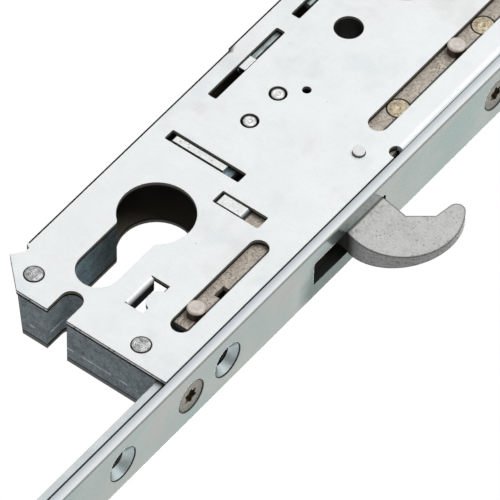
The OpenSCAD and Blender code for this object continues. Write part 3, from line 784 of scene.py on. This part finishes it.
@dataclass(frozen=True)
class PeenedRivet(TurnedEnd):
    """Hammered rivet with painted shade in a ring round its end.

    Attributes:
        groove_r: Radius at which the dark ring starts.
        groove_shade: Colour of the painted shade in the ring.
    """

    groove_r: float = 2.1 * MM
    groove_shade: Rgb = (62, 62, 60)

    @property
    def marks(self) -> List[Coat]:
        """Painted shade in a ring round the mottled end."""
        ring = self.near.ramp(self.groove_r - 0.08 * MM, self.groove_r + 0.04 * MM)
        return [(ring, self.groove_shade)]


@dataclass(frozen=True)
class GreasedShadedHook(Finish):
    """Sintered hook with grease and painted shade where it leaves the faceplate.

    Attributes:
        grease_and_shade: Colour of the grease and painted shade.
        grease_and_shade_x: Distances along X between which they thin out.
        face_y: Place of the hook's face, which is wiped clean.
        smear_x: Distance along X at which the last smears on the face end.
        stray: How far the grease's edge strays, and how wide its waves are.
        grit: How strongly grit shows on the sides.
    """

    grease_and_shade: Rgb = (58, 55, 48)
    grease_and_shade_x: Span = (35.2 * MM, 38.4 * MM)
    face_y: float = -3.4 * MM
    smear_x: float = 39.5 * MM
    stray: float = 1.2 * MM
    grit: float = 0.45

    @property
    def marks(self) -> List[Coat]:
        """Grease and painted shade that thin out along the hook's sides, with grit and smears."""
        along, across, _ = self.graph.axes
        root = self.grease_and_shade_x[0]
        patchy = along + (self.graph.noise(self.stray) - 0.5) * self.stray
        side = across > self.face_y + HAIR
        grit = self.graph.noise(0.7 * MM).ramp(0.5, 0.64) * side * self.grit
        # Painted shade and grease on the sides near the faceplate, over grit.
        dark_coat = ((1 - patchy.ramp(*self.grease_and_shade_x)) * side).biggest(grit)
        dark_coat = dark_coat.biggest((1 - along.ramp(root, root + FADE)) * STRONG)
        smear = self.graph.noise(0.8 * MM, 3.0, (0.7, 1.0, 1.0)).ramp(0.48, 0.66)
        dark_coat = dark_coat.biggest((1 - along.ramp(root, self.smear_x)) * smear * 0.5)
        return [(dark_coat * 0.85, self.grease_and_shade)]


@dataclass(frozen=True)
class ShadowLinedSlide(Finish):
    """Passivated slide with a painted shadow of the cover's edge along each slot.

    Attributes:
        slot_shadow: Colour of the painted shadow lines.
        lines: Place of each line along X and its lowest and highest point.
        line_w: Width of a line.
    """

    slot_shadow: Rgb = (40, 36, 31)
    lines: Tuple[Tuple[float, Span], ...] = ()
    line_w: float = 1.35 * MM

    @property
    def marks(self) -> List[Coat]:
        """The painted shadow lines."""
        along, _, up = self.graph.axes
        return [(along.within((place - self.line_w, place)) * up.within(span) * 0.9, self.slot_shadow)
                for place, span in self.lines]


@dataclass(frozen=True)
class LuggedBar(Finish):
    """Bar with bright lugs over a stained teal back.

    Attributes:
        top: Distance of the lugs' tops from mid-thickness.
        stained: Colour of the back.
        line: Ends of the dark line along X, a painted shadow along the bar's slot.
        foot: Height below which the bar's end is dark.
        sills: Heights of the lugs' lower edges, which are dark.
        sill_w: Width of those dark edges.
        bend: Place along X beyond which the lug's bend is dark.
        dark: Colour of the line, the edges and the end.
    """

    top: float = 7.0 * MM
    stained: Rgb = (196, 210, 211)
    line: Span = (0.0, 0.0)
    foot: float = 0.0
    sills: Tuple[float, ...] = ()
    sill_w: float = 0.28 * MM
    bend: float = 1.0
    dark: Rgb = (30, 28, 26)

    @property
    def marks(self) -> List[Coat]:
        """Streaked back and dark lines."""
        along, across, up = self.graph.axes
        patches = self.graph.noise(0.8 * MM, 3.0, (2.0, 1.0, 0.35)).ramp(*CLOUDY)
        streaks = self.graph.shaded(self.stained, 0.45 + patches * 0.7)
        low = across * -1.0 < self.top - FADE
        # Painted shadow along the slot, then the dark lug edges, end and bend.
        dark_marks = low * along.within(self.line).biggest(up < self.foot)
        for sill in self.sills:
            dark_marks = dark_marks.biggest(up.within((sill - 0.02 * MM, sill + self.sill_w)) * (1 - low))
        dark_marks = dark_marks.biggest(along.ramp(self.bend, self.bend + FADE) * STRONG)
        return [(low, streaks), (dark_marks, self.dark)]


@dataclass(frozen=True)
class PlatedRail(Finish):
    """Plated rail with painted shade along its middle, where it shows through the faceplate's holes, and
    next to the faceplate.

    Attributes:
        core: Distance from mid-thickness that the grease covers.
        front: Place of the rail's front along X.
        seam_shade: Distances behind the front over which the painted shade next to the faceplate fades out.
        grease_and_shade: Colour of the painted shade.
    """

    core: float = 3.3 * MM
    front: float = 32.4 * MM
    seam_shade: Span = (1.38 * MM, 1.56 * MM)
    grease_and_shade: Rgb = (36, 36, 35)

    @cached_property
    def dark_coat(self) -> Wire:
        """Where the painted shade lies."""
        along, across, _ = self.graph.axes
        middle = (1 - abs(across).ramp(self.core - FADE, self.core)) * (along > self.front - 0.5 * MM)
        return middle.biggest(1 - (self.front - along).ramp(*self.seam_shade))

    @property
    def marks(self) -> List[Coat]:
        """Painted shade along the middle and next to the faceplate."""
        return [(self.dark_coat, self.grease_and_shade)]

    @property
    def metalness(self) -> Wire:
        """No metal under the painted shade."""
        return (1 - self.dark_coat) * self.metal


@dataclass(frozen=True)
class RawCasting(Finish):
    """Raw casting, trimmed pale outside and darker in its opening, with painted shade at the opening's top
    and a parting line.

    Attributes:
        skin: Colour of the walls in the opening.
        skin_z: Heights between which the trimmed colour turns to skin.
        deep: Painted shade on the walls at the top of the opening.
        deep_z: Heights between which the skin turns deep.
        opening_z: Height of the opening's top.
        line: Colour of the parting line.
        parting_y: Place of the parting line across the thickness.
        parting_w: Width of the parting line.
    """

    skin: Rgb = (148, 169, 176)
    skin_z: Span = (-28.6 * MM, -27.0 * MM)
    deep: Rgb = (96, 106, 109)
    deep_z: Span = (-22.0 * MM, -10.0 * MM)
    opening_z: float = 12 * MM
    line: Rgb = (206, 212, 215)
    parting_y: float = 2.4 * MM
    parting_w: float = 0.32 * MM

    @cached_property
    def parting(self) -> Wire:
        """Broken line where the mould's halves met."""
        _, across, up = self.graph.axes
        near = 1 - abs(across - self.parting_y).ramp(self.parting_w * 0.3, self.parting_w)
        return near * self.graph.noise(3 * MM, 2.0).ramp(0.42, 0.6) * (up < self.skin_z[0])

    @property
    def metalness(self) -> Wire:
        """Rubbed bare along the parting line."""
        return self.parting * 0.5

    @property
    def marks(self) -> List[Coat]:
        """Light parting line and darker walls in the opening, with painted shade at its top."""
        up = self.graph.axes[2]
        wall = self.graph.shaded(self.graph.coats(self.skin, (up.ramp(*self.deep_z), self.deep)), self.tone)
        inside = up.ramp(*self.skin_z) * (up < self.opening_z)
        return [(self.parting * 0.85, self.line), (inside, wall)]


class Body(Enum):
    """Bodies of the lock that new pieces ride on."""

    CASE = "case"


class Slot(Enum):
    """Material slots of the record."""

    RIVET = "rivet_steel"


def islands(name: str) -> List[Tuple[Vector, Vector]]:
    """Boxes of the separate solids in one node.

    Args:
        name: Node name.

    Returns:
        Lowest and highest corner of each solid, from the bottom of the lock up.
    """
    shape = bmesh.new()
    shape.from_mesh(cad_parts[name].data)
    bmesh.ops.remove_doubles(shape, verts=shape.verts, dist=WELD)
    boxes = []
    waiting = set(shape.verts)
    while waiting:
        group = {waiting.pop()}
        front = list(group)
        while front:
            last = front.pop()
            linked = [edge.other_vert(last) for edge in last.link_edges]
            fresh = [vert for vert in linked if vert in waiting]
            waiting.difference_update(fresh)
            group.update(fresh)
            front.extend(fresh)
        corners = [[vert.co[axis] for vert in group] for axis in range(3)]
        boxes.append((Vector(map(min, corners)), Vector(map(max, corners))))
    shape.free()
    return sorted(boxes, key=lambda box: (box[0].z, box[0].x))


def centres(name: str) -> Tuple[Span, ...]:
    """X and Z of the middle of each solid in one node."""
    return tuple(((low.x + high.x) / 2, (low.z + high.z) / 2) for low, high in islands(name))


@dataclass
class Assembly:
    """A group of the lock's pieces that are built and dressed together."""

    @property
    def finishes(self) -> Dict[str, Finish]:
        """Finish of each carried-over piece by node name."""
        return {}

    def build(self) -> None:
        """Adds the group's own pieces, where it has any."""

    def dress(self) -> None:
        """Gives each carried-over piece its finish."""
        made: Dict[Finish, bpy.types.Material] = {}
        for name, finish in self.finishes.items():
            if finish not in made:
                made[finish] = finish.material()
            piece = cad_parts[name]
            piece.data.materials.clear()
            piece.data.materials.append(made[finish])
            LOG.info("%s is %s", name, finish.name)

    def keep(self, shape: bmesh.types.BMesh, name: str, look: bpy.types.Material, body: Body,
             slot: Slot) -> None:
        """Turns a finished shape into a piece that rides on a body.

        Args:
            shape: The finished shape, which is freed.
            name: Name of the piece.
            look: Its material.
            body: The body that carries it.
            slot: The record's material slot; not used.
        """
        mesh = bpy.data.meshes.new(name)
        shape.to_mesh(mesh)
        shape.free()
        mesh.materials.append(look)
        for face in mesh.polygons:
            face.use_smooth = True
        piece = link(name, mesh)
        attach(piece, body.value)
        LOG.info("%s has %d faces", name, len(mesh.polygons))


@dataclass
class FaceplateSet(Assembly):
    """Faceplate and the screws that hold it to the case.

    Attributes:
        open_sinks: Heights of the empty countersinks.
        filled_sinks: Heights of those that hold a case screw.
    """

    open_sinks: Tuple[float, ...] = (-122.1 * MM, -56 * MM, -18.8 * MM, 180 * MM, 251.5 * MM)
    filled_sinks: Tuple[float, ...] = (-31.8 * MM, 80.4 * MM, 104 * MM)

    @property
    def finishes(self) -> Dict[str, Finish]:
        """Plated face with beige and teal clouds, and stainless screws."""
        clouds = (Layer((190, 184, 176), 0.35, 12 * MM, (0.46, 0.64), 2.0),
                  Layer((152, 180, 175), 0.5, 15 * MM, (0.46, 0.62), 2.0, (1.0, 1.0, 0.6)))
        face = DrilledFace(
            "plated_faceplate", (174, 184, 180), metal=0.75, rough=0.2, cloud=(0.04, 14 * MM),
            grain=(0.04, 0.3 * MM), bump=0.003 * MM, stretch=(6.0, 6.0, 0.25), edge_share=0.1, layers=clouds,
            open_sinks=self.open_sinks, filled_sinks=self.filled_sinks)
        screw = TurnedEnd(
            "stainless_screw", (137, 135, 124), metal=0.6, rough=0.34, cloud=(0.16, 1.2 * MM),
            grain=(0.12, 0.3 * MM), bump=0.02 * MM, axis=Axis.OUT, pitch=0.8 * MM, depth=0.07,
            centres=tuple((0.0, level) for level in self.filled_sinks), end=34.75 * MM, rim=0.2 * MM,
            flank=(104, 86, 66))
        screws = ("case_screw_low", "case_screw_mid", "case_screw_top")
        return {"faceplate": face, **dict.fromkeys(screws, screw)}


@dataclass
class CaseShell(Assembly):
    """Case plates, blocks and the rivets, studs and tubes that join them.

    Attributes:
        stud_r: Radius of a spacer stud's end.
        peen_rise: Height of a rivet's peened dome.
        peen_sink: Depth of the dome's skirt in the rivet.
        peen_rings: Rings of faces from the middle to the rim.
        peen_sides: Faces round the rim.
        dent: Depth of the hammer marks.
        dent_size: Width of a hammer mark.
        dent_shift: Shift of the hammer marks from one rivet to the next.
    """

    stud_r: float = 1.85 * MM
    peen_rise: float = 0.2 * MM
    peen_sink: float = 0.06 * MM
    peen_rings: int = 12
    peen_sides: int = 48
    dent: float = 0.24 * MM
    dent_size: float = 0.75 * MM
    dent_shift: Span = (7.3, 3.1)

    @property
    def rivet(self) -> PeenedRivet:
        """Finish of the rivets and of their domes."""
        return PeenedRivet(
            "peened_rivet", (172, 175, 174), metal=0.35, rough=0.4, cloud=(0.3, 1.0 * MM),
            grain=(0.34, 0.35 * MM), bump=0.06 * MM, edge_share=0.0, centres=centres("case_rivets"))

    @property
    def finishes(self) -> Dict[str, Finish]:
        """Plated sheet with smudges, specks, scratches and painted shade, raw blocks, bright fixings and
        tubes painted dark as shade.
        """
        marks = (Layer((200, 196, 194), 0.25, 16 * MM, (0.54, 0.72), 4.0),
                 Layer((222, 230, 234), 0.35, 11 * MM, (0.52, 0.7)),
                 Layer((96, 97, 95), 0.7, 9 * MM, (0.46, 0.56), specks=(4.5 * MM, 0.19 * MM)),
                 Layer((120, 120, 117), 0.4, 6 * MM, (0.44, 0.58), specks=(2.3 * MM, 0.14 * MM)),
                 Layer((160, 162, 162), 0.14, 5 * MM, (0.68, 0.73), 1.0, (1.0, 1.0, 40.0)))
        # Edges near white at strength 0.7: a painted highlight on the sheet's rims.
        sheet = PlatedSheet(
            "plated_sheet", (243, 246, 246), metal=0.32, rough=0.58, cloud=(0.015, 8 * MM),
            grain=(0.012, 0.4 * MM), bump=0.004 * MM, edge_share=0.7, edge_light_and_wear=(250, 252, 252), gloss=0.0,
            layers=marks)
        wall = LinedWall("plated_wall", (226, 228, 228), metal=0.25, cloud=(0.03, 8 * MM), gloss=0.0)
        block = RawCasting(
            "raw_casting", (168, 178, 184), metal=0.0, rough=0.5, cloud=(0.14, 2.2 * MM),
            grain=(0.26, 0.4 * MM), bump=0.05 * MM, edge_share=0.3, edge_light_and_wear=(120, 126, 130), gloss=0.0)
        # The tubes are dark all over: painted shade for their insides.
        tube = Finish("shaded_tube", (50, 49, 46), metal=0.0, rough=0.5, gloss=0.2)
        stud = PeenedRivet(
            "turned_stud", (222, 223, 222), metal=0.5, rough=0.3, cloud=(0.24, 1 * MM),
            grain=(0.14, 0.3 * MM), bump=0.04 * MM, edge_share=0.0, centres=centres("spacer_studs"),
            pitch=0.75 * MM, depth=0.22, groove_r=self.stud_r - 0.3 * MM, groove_shade=(24, 23, 21))
        pivot = TurnedEnd(
            "turned_pivot", (230, 231, 230), rough=0.34, cloud=(0.03, 1 * MM), grain=(0.04, 0.3 * MM),
            centres=centres("hook_pivot"), depth=0.02, end=-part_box("hook_pivot")[0][1], rim=0.3 * MM,
            flank=(120, 119, 116))
        return {"cover_plate": sheet, "base_plate": sheet, "back_wall": wall, "lower_block": block,
                "upper_block": block, "case_rivets": self.rivet, "spacer_studs": stud,
                "hook_pivot": pivot, "handle_tube_low": tube, "handle_tube_high": tube}

    def build(self) -> None:
        """Adds a peened dome on the cover's side of each case rivet."""
        look = self.rivet.material()
        for number, (low, high) in enumerate(islands("case_rivets"), 1):
            shape = self.peened((high.x - low.x) / 2, number)
            place = Vector(((low.x + high.x) / 2, low.y, (low.z + high.z) / 2))
            bmesh.ops.rotate(shape, verts=shape.verts, matrix=Matrix.Rotation(radians(90), 3, "X"))
            bmesh.ops.translate(shape, verts=shape.verts, vec=place)
            self.keep(shape, f"rivet_dome_{number}", look, Body.CASE, Slot.RIVET)

    def peened(self, radius: float, number: int) -> bmesh.types.BMesh:
        """Low dome with hammer marks, standing on the origin and looking up.

        Args:
            radius: Radius of the rivet.
            number: Number of the rivet, which shifts its hammer marks.

        Returns:
            The closed shape.
        """
        shape = bmesh.new()
        steps = [step / self.peen_rings for step in range(self.peen_rings + 1)]
        line = [shape.verts.new((radius * s, 0, self.peen_rise * (1 - s ** 4))) for s in steps]
        line.append(shape.verts.new((radius, 0, -self.peen_sink)))
        line.append(shape.verts.new((0, 0, -self.peen_sink)))
        profile = [shape.edges.new(pair) for pair in zip(line, line[1:])]
        bmesh.ops.spin(shape, geom=line + profile, cent=(0, 0, 0), axis=(0, 0, 1), angle=tau,
                       steps=self.peen_sides, use_merge=True)
        bmesh.ops.remove_doubles(shape, verts=shape.verts, dist=WELD)
        bmesh.ops.recalc_face_normals(shape, faces=shape.faces)
        shift = Vector((self.dent_shift[0] * number, self.dent_shift[1] * number, 0.5))
        for vert in shape.verts:
            if vert.co.z > 0:
                vert.co.z += self.dent * min(0.0, noise.noise(vert.co / self.dent_size + shift))
        return shape


@dataclass
class DriveTrain(Assembly):
    """Slide, pins and rails that the handle drives.

    Attributes:
        slot_w: Width of the cover's slots over the pins.
        slots: Pin in each of those slots, and heights between which the slot lies.
    """

    slot_w: float = 5 * MM
    slots: Tuple[Tuple[str, Span], ...] = (
        ("lower_drive_pin", (-60 * MM, 30 * MM)), ("hub_drive_pin", (30 * MM, 140 * MM)))

    @property
    def finishes(self) -> Dict[str, Finish]:
        """Speckled slide, turned pins and plated rails."""
        lines = tuple((centres(pin)[0][0] + self.slot_w / 2, span) for pin, span in self.slots)
        slide = ShadowLinedSlide(
            "passivated_slide", (188, 178, 166), metal=0.25, rough=0.48, cloud=(0.12, 2.5 * MM),
            grain=(0.22, 0.5 * MM), bump=0.04 * MM, edge_share=0.5, edge_light_and_wear=(84, 72, 60), lines=lines,
            layers=pits((92, 80, 64), 0.6 * MM, 0.26 * MM, patch=5 * MM))
        low, high = islands("slide_rivets")[0]
        flush = PeenedRivet(
            "flush_rivet", (198, 184, 156), metal=0.3, cloud=(0.26, 1.1 * MM), grain=(0.26, 0.4 * MM),
            bump=0.06 * MM, edge_share=0.0, centres=centres("slide_rivets"), pitch=2.4 * MM,
            groove_r=(high.x - low.x) / 2 - 0.24 * MM, groove_shade=(40, 34, 27))
        rail = PlatedRail(
            "plated_rail", (202, 208, 210), metal=0.6, rough=0.34, cloud=(0.06, 6 * MM),
            grain=(0.06, 0.4 * MM), bump=0.006 * MM, stretch=(4.0, 4.0, 0.3),
            front=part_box("lower_rail")[1][0], gloss=0.15)
        stud = Finish("turned_stud_steel", (196, 198, 198), metal=0.6, rough=0.32)
        looks: Dict[str, Finish] = {
            "slide_bar": slide, "slide_link": slide, "slide_rivets": flush, "lower_rail": rail,
            "upper_rail": rail, "roller_stud_low": stud, "roller_stud_high": stud}
        for pin in ("lower_drive_pin", "hub_drive_pin", "hook_cam_pin"):
            looks[pin] = TurnedEnd(
                f"turned_{pin}", (210, 202, 193), metal=0.3, cloud=(0.08, 1.6 * MM),
                grain=(0.1, 0.3 * MM), bump=0.02 * MM, centres=centres(pin), pitch=1.1 * MM, depth=0.05,
                end=-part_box(pin)[0][1], rim=0.55 * MM, flank=(86, 66, 54))
        return looks


@dataclass
class RollerCams(Assembly):
    """Rollers on the rails' studs."""

    @property
    def finishes(self) -> Dict[str, Finish]:
        """Fine turned steel."""
        roller = Finish(
            "turned_roller", (200, 203, 205), metal=0.7, rough=0.28, cloud=(0.04, 3 * MM),
            grain=(0.08, 0.3 * MM), bump=0.008 * MM, stretch=(8.0, 1.0, 1.0))
        return {"roller_low": roller, "roller_high": roller}


@dataclass
class HookBolt(Assembly):
    """Swinging hook."""

    @property
    def finishes(self) -> Dict[str, Finish]:
        """Matt sintered steel with fine dark pits and painted shade on its edges."""
        # Dark edges at full strength: painted shade.
        hook = GreasedShadedHook(
            "sintered_hook", (207, 207, 206), metal=0.12, rough=0.58, cloud=(0.06, 4 * MM),
            grain=(0.13, 0.25 * MM), bump=0.03 * MM, edge=0.25 * MM, strip=0.75 * MM, edge_share=1.0,
            edge_light_and_wear=(42, 42, 40), layers=pits((78, 78, 75), 0.95 * MM, 0.24 * MM))
        return {"hook": hook}


@dataclass
class FollowerHub(Assembly):
    """Hub that the handle's spindle turns, with its lever."""

    @property
    def finishes(self) -> Dict[str, Finish]:
        """Raw casting, a little lighter than the blocks."""
        hub = Finish(
            "hub_casting", (168, 172, 173), metal=0.35, rough=0.5, cloud=(0.1, 3 * MM),
            grain=(0.14, 0.4 * MM), bump=0.03 * MM)
        return {"follower_hub": hub, "hub_lever": hub}


@dataclass
class SpringLatch(Assembly):
    """Latch bolt and its tail."""

    @property
    def finishes(self) -> Dict[str, Finish]:
        """Satin bolt and a passivated tail."""
        bolt = Finish(
            "satin_latch", (206, 207, 206), metal=0.5, rough=0.36, cloud=(0.04, 5 * MM),
            grain=(0.06, 0.3 * MM), bump=0.006 * MM, stretch=(0.3, 5.0, 5.0))
        tail = Finish(
            "passivated_tail", (182, 173, 159), metal=0.25, rough=0.48,
            layers=pits((92, 82, 70), 0.8 * MM, 0.3 * MM))
        return {"latch_bolt": bolt, "latch_tail": tail}


@dataclass
class AuxiliarySlides(Assembly):
    """Deadlock slide and changeover bar.

    Attributes:
        sills: Heights of the lower edges of the deadlock slide's lugs.
        bend: Place along X at which the lower lug bends down.
    """

    sills: Tuple[float, ...] = (10.9 * MM, 19.0 * MM)
    bend: float = 14.8 * MM

    @property
    def finishes(self) -> Dict[str, Finish]:
        """Bright plate with stains and dark edges."""
        lug = LuggedBar(
            "plated_lug", (228, 230, 229), metal=0.45, cloud=(0.05, 2 * MM), grain=(0.08, 0.4 * MM),
            edge_share=0.2, edge_light_and_wear=(92, 94, 93), layers=pits((110, 113, 111), 1.3 * MM, 0.34 * MM, 0.55),
            top=-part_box("deadlock_slide")[0][1], stained=(150, 170, 176), sills=self.sills,
            bend=self.bend)
        low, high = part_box("changeover_bar")
        middle = (low[0] + high[0]) / 2
        bar = LuggedBar(
            "lugged_bar", (232, 234, 233), metal=0.5, cloud=(0.05, 4 * MM), grain=(0.05, 0.4 * MM),
            edge_share=0.1, layers=pits((150, 152, 150), 1.5 * MM, 0.36 * MM, 0.4), top=-low[1],
            line=(middle - 0.2 * MM, middle + 1.3 * MM), foot=low[2] + 0.52 * MM)
        return {"deadlock_slide": lug, "changeover_bar": bar}


@dataclass(frozen=True)
class Lamp:
    """A soft square lamp that looks at one point of the lock.

    Attributes:
        name: Lamp name.
        place: Position in metres.
        side: Length of its side in metres.
        power: Power in watts.
        aim: Point that it looks at.
    """

    name: str
    place: Point
    side: float
    power: float
    aim: Point = (0.01, 0.0, 0.04)

    def light(self) -> None:
        """Adds the lamp to the scene."""
        data = bpy.data.lights.new(self.name, "AREA")
        data.size = self.side
        data.energy = self.power
        lamp = link(self.name, data)
        lamp.location = self.place
        lamp.rotation_euler = (Vector(self.aim) - Vector(self.place)).to_track_quat("-Z", "Y").to_euler()


@dataclass
class Studio:
    """Pale floor, white surround, soft lamps and the photograph's camera.

    Attributes:
        floor_z: Height of the floor; the lock hangs at its fitted height over it.
        floor_half: Half the floor's side.
        floor_shade: Linear grey of the floor's own colour.
        floor_glow: Share of white in the floor as it is seen.
        ambient: Light that the surround sheds on the part.
        lamps: The lamps.
        eye: Camera position in metres.
        right: Direction of the picture's right side.
        up: Direction of the picture's top.
        lens: Focal length in millimetres.
        sensor: Width of the sensor in millimetres.
        clip: Nearest and farthest distance that the camera sees.
    """

    floor_z: float = -1.05
    floor_half: float = 12.0
    floor_shade: float = 0.5
    floor_glow: float = 0.8
    ambient: float = 0.22
    lamps: Tuple[Lamp, ...] = (
        Lamp("key", (0.45, -2.0, 0.9), 1.5, 30.0),
        Lamp("back", (-0.5, 2.0, 0.9), 1.5, 26.0),
    )
    eye: Point = (0.69095, -1.34011, -0.87509)
    right: Point = (0.788542, -0.010576, 0.614890)
    up: Point = (-0.478846, -0.637941, 0.603107)
    lens: float = 560.34
    sensor: float = 36.0
    clip: Span = (0.05, 60.0)

    @staticmethod
    def seen(graph: Graph) -> Wire:
        """Finds the rays that show the studio itself.

        Args:
            graph: Graph of the floor or the surround.

        Returns:
            One for rays from the camera, from gloss and through glass.
        """
        path = graph.add("ShaderNodeLightPath", {}, {}).socket.node
        camera, gloss, through = (Wire(graph, path.outputs[name])
                                  for name in ("Is Camera Ray", "Is Glossy Ray", "Is Transmission Ray"))
        return camera.biggest(gloss).biggest(through)

    def surround(self) -> None:
        """White world for what is seen, softer for what is lit."""
        world = bpy.data.worlds.new("white_surround")
        bpy.context.scene.world = world
        graph = Graph(world)
        soft, white = (graph.add("ShaderNodeBackground", {}, {"Color": WHITE, "Strength": strength})
                       for strength in (self.ambient, 1.0))
        mixed = graph.add("ShaderNodeMixShader", {}, {0: self.seen(graph), 1: soft, 2: white})
        graph.add("ShaderNodeOutputWorld", {}, {"Surface": mixed})

    def floor(self) -> None:
        """Pale floor that shades off into the surround and keeps the shadow."""
        shape = bmesh.new()
        bmesh.ops.create_grid(shape, x_segments=1, y_segments=1, size=self.floor_half)
        bmesh.ops.translate(shape, verts=shape.verts, vec=(0, 0, self.floor_z))
        mesh = bpy.data.meshes.new("floor")
        shape.to_mesh(mesh)
        shape.free()
        pale = bpy.data.materials.new("pale_floor")
        graph = Graph(pale)
        grey = (self.floor_shade, self.floor_shade, self.floor_shade, 1)
        matt = graph.add("ShaderNodeBsdfPrincipled", {}, {"Base Color": grey, "Roughness": 0.9}, "BSDF")
        glow = graph.add("ShaderNodeEmission", {}, {"Color": WHITE, "Strength": 1.0})
        share = self.seen(graph) * self.floor_glow
        mixed = graph.add("ShaderNodeMixShader", {}, {0: share, 1: matt, 2: glow})
        graph.add("ShaderNodeOutputMaterial", {}, {"Surface": mixed})
        mesh.materials.append(pale)
        link("floor", mesh)

    def camera(self) -> None:
        """Camera at the photograph's place and angle."""
        data = bpy.data.cameras.new("photo_camera")
        data.lens = self.lens
        data.sensor_width = self.sensor
        data.clip_start, data.clip_end = self.clip
        right, up = Vector(self.right).normalized(), Vector(self.up).normalized()
        turn = Matrix((right, up, right.cross(up))).transposed().to_4x4()
        eye = link("photo_camera", data)
        eye.matrix_world = Matrix.Translation(self.eye) @ turn
        bpy.context.scene.camera = eye

    def build(self) -> None:
        """Sets up the whole studio."""
        bpy.context.scene.view_settings.view_transform = "Standard"
        self.surround()
        self.floor()
        for lamp in self.lamps:
            lamp.light()
        self.camera()


def main() -> None:
    logging.basicConfig(level=logging.INFO, format="%(message)s")
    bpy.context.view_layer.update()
    Studio().build()
    groups = (FaceplateSet(), CaseShell(), DriveTrain(), RollerCams(), HookBolt(), FollowerHub(),
              SpringLatch(), AuxiliarySlides())
    for group in groups:
        group.build()
        group.dress()
    LOG.info("sizes written")


if __name__ == "__main__":
    main()
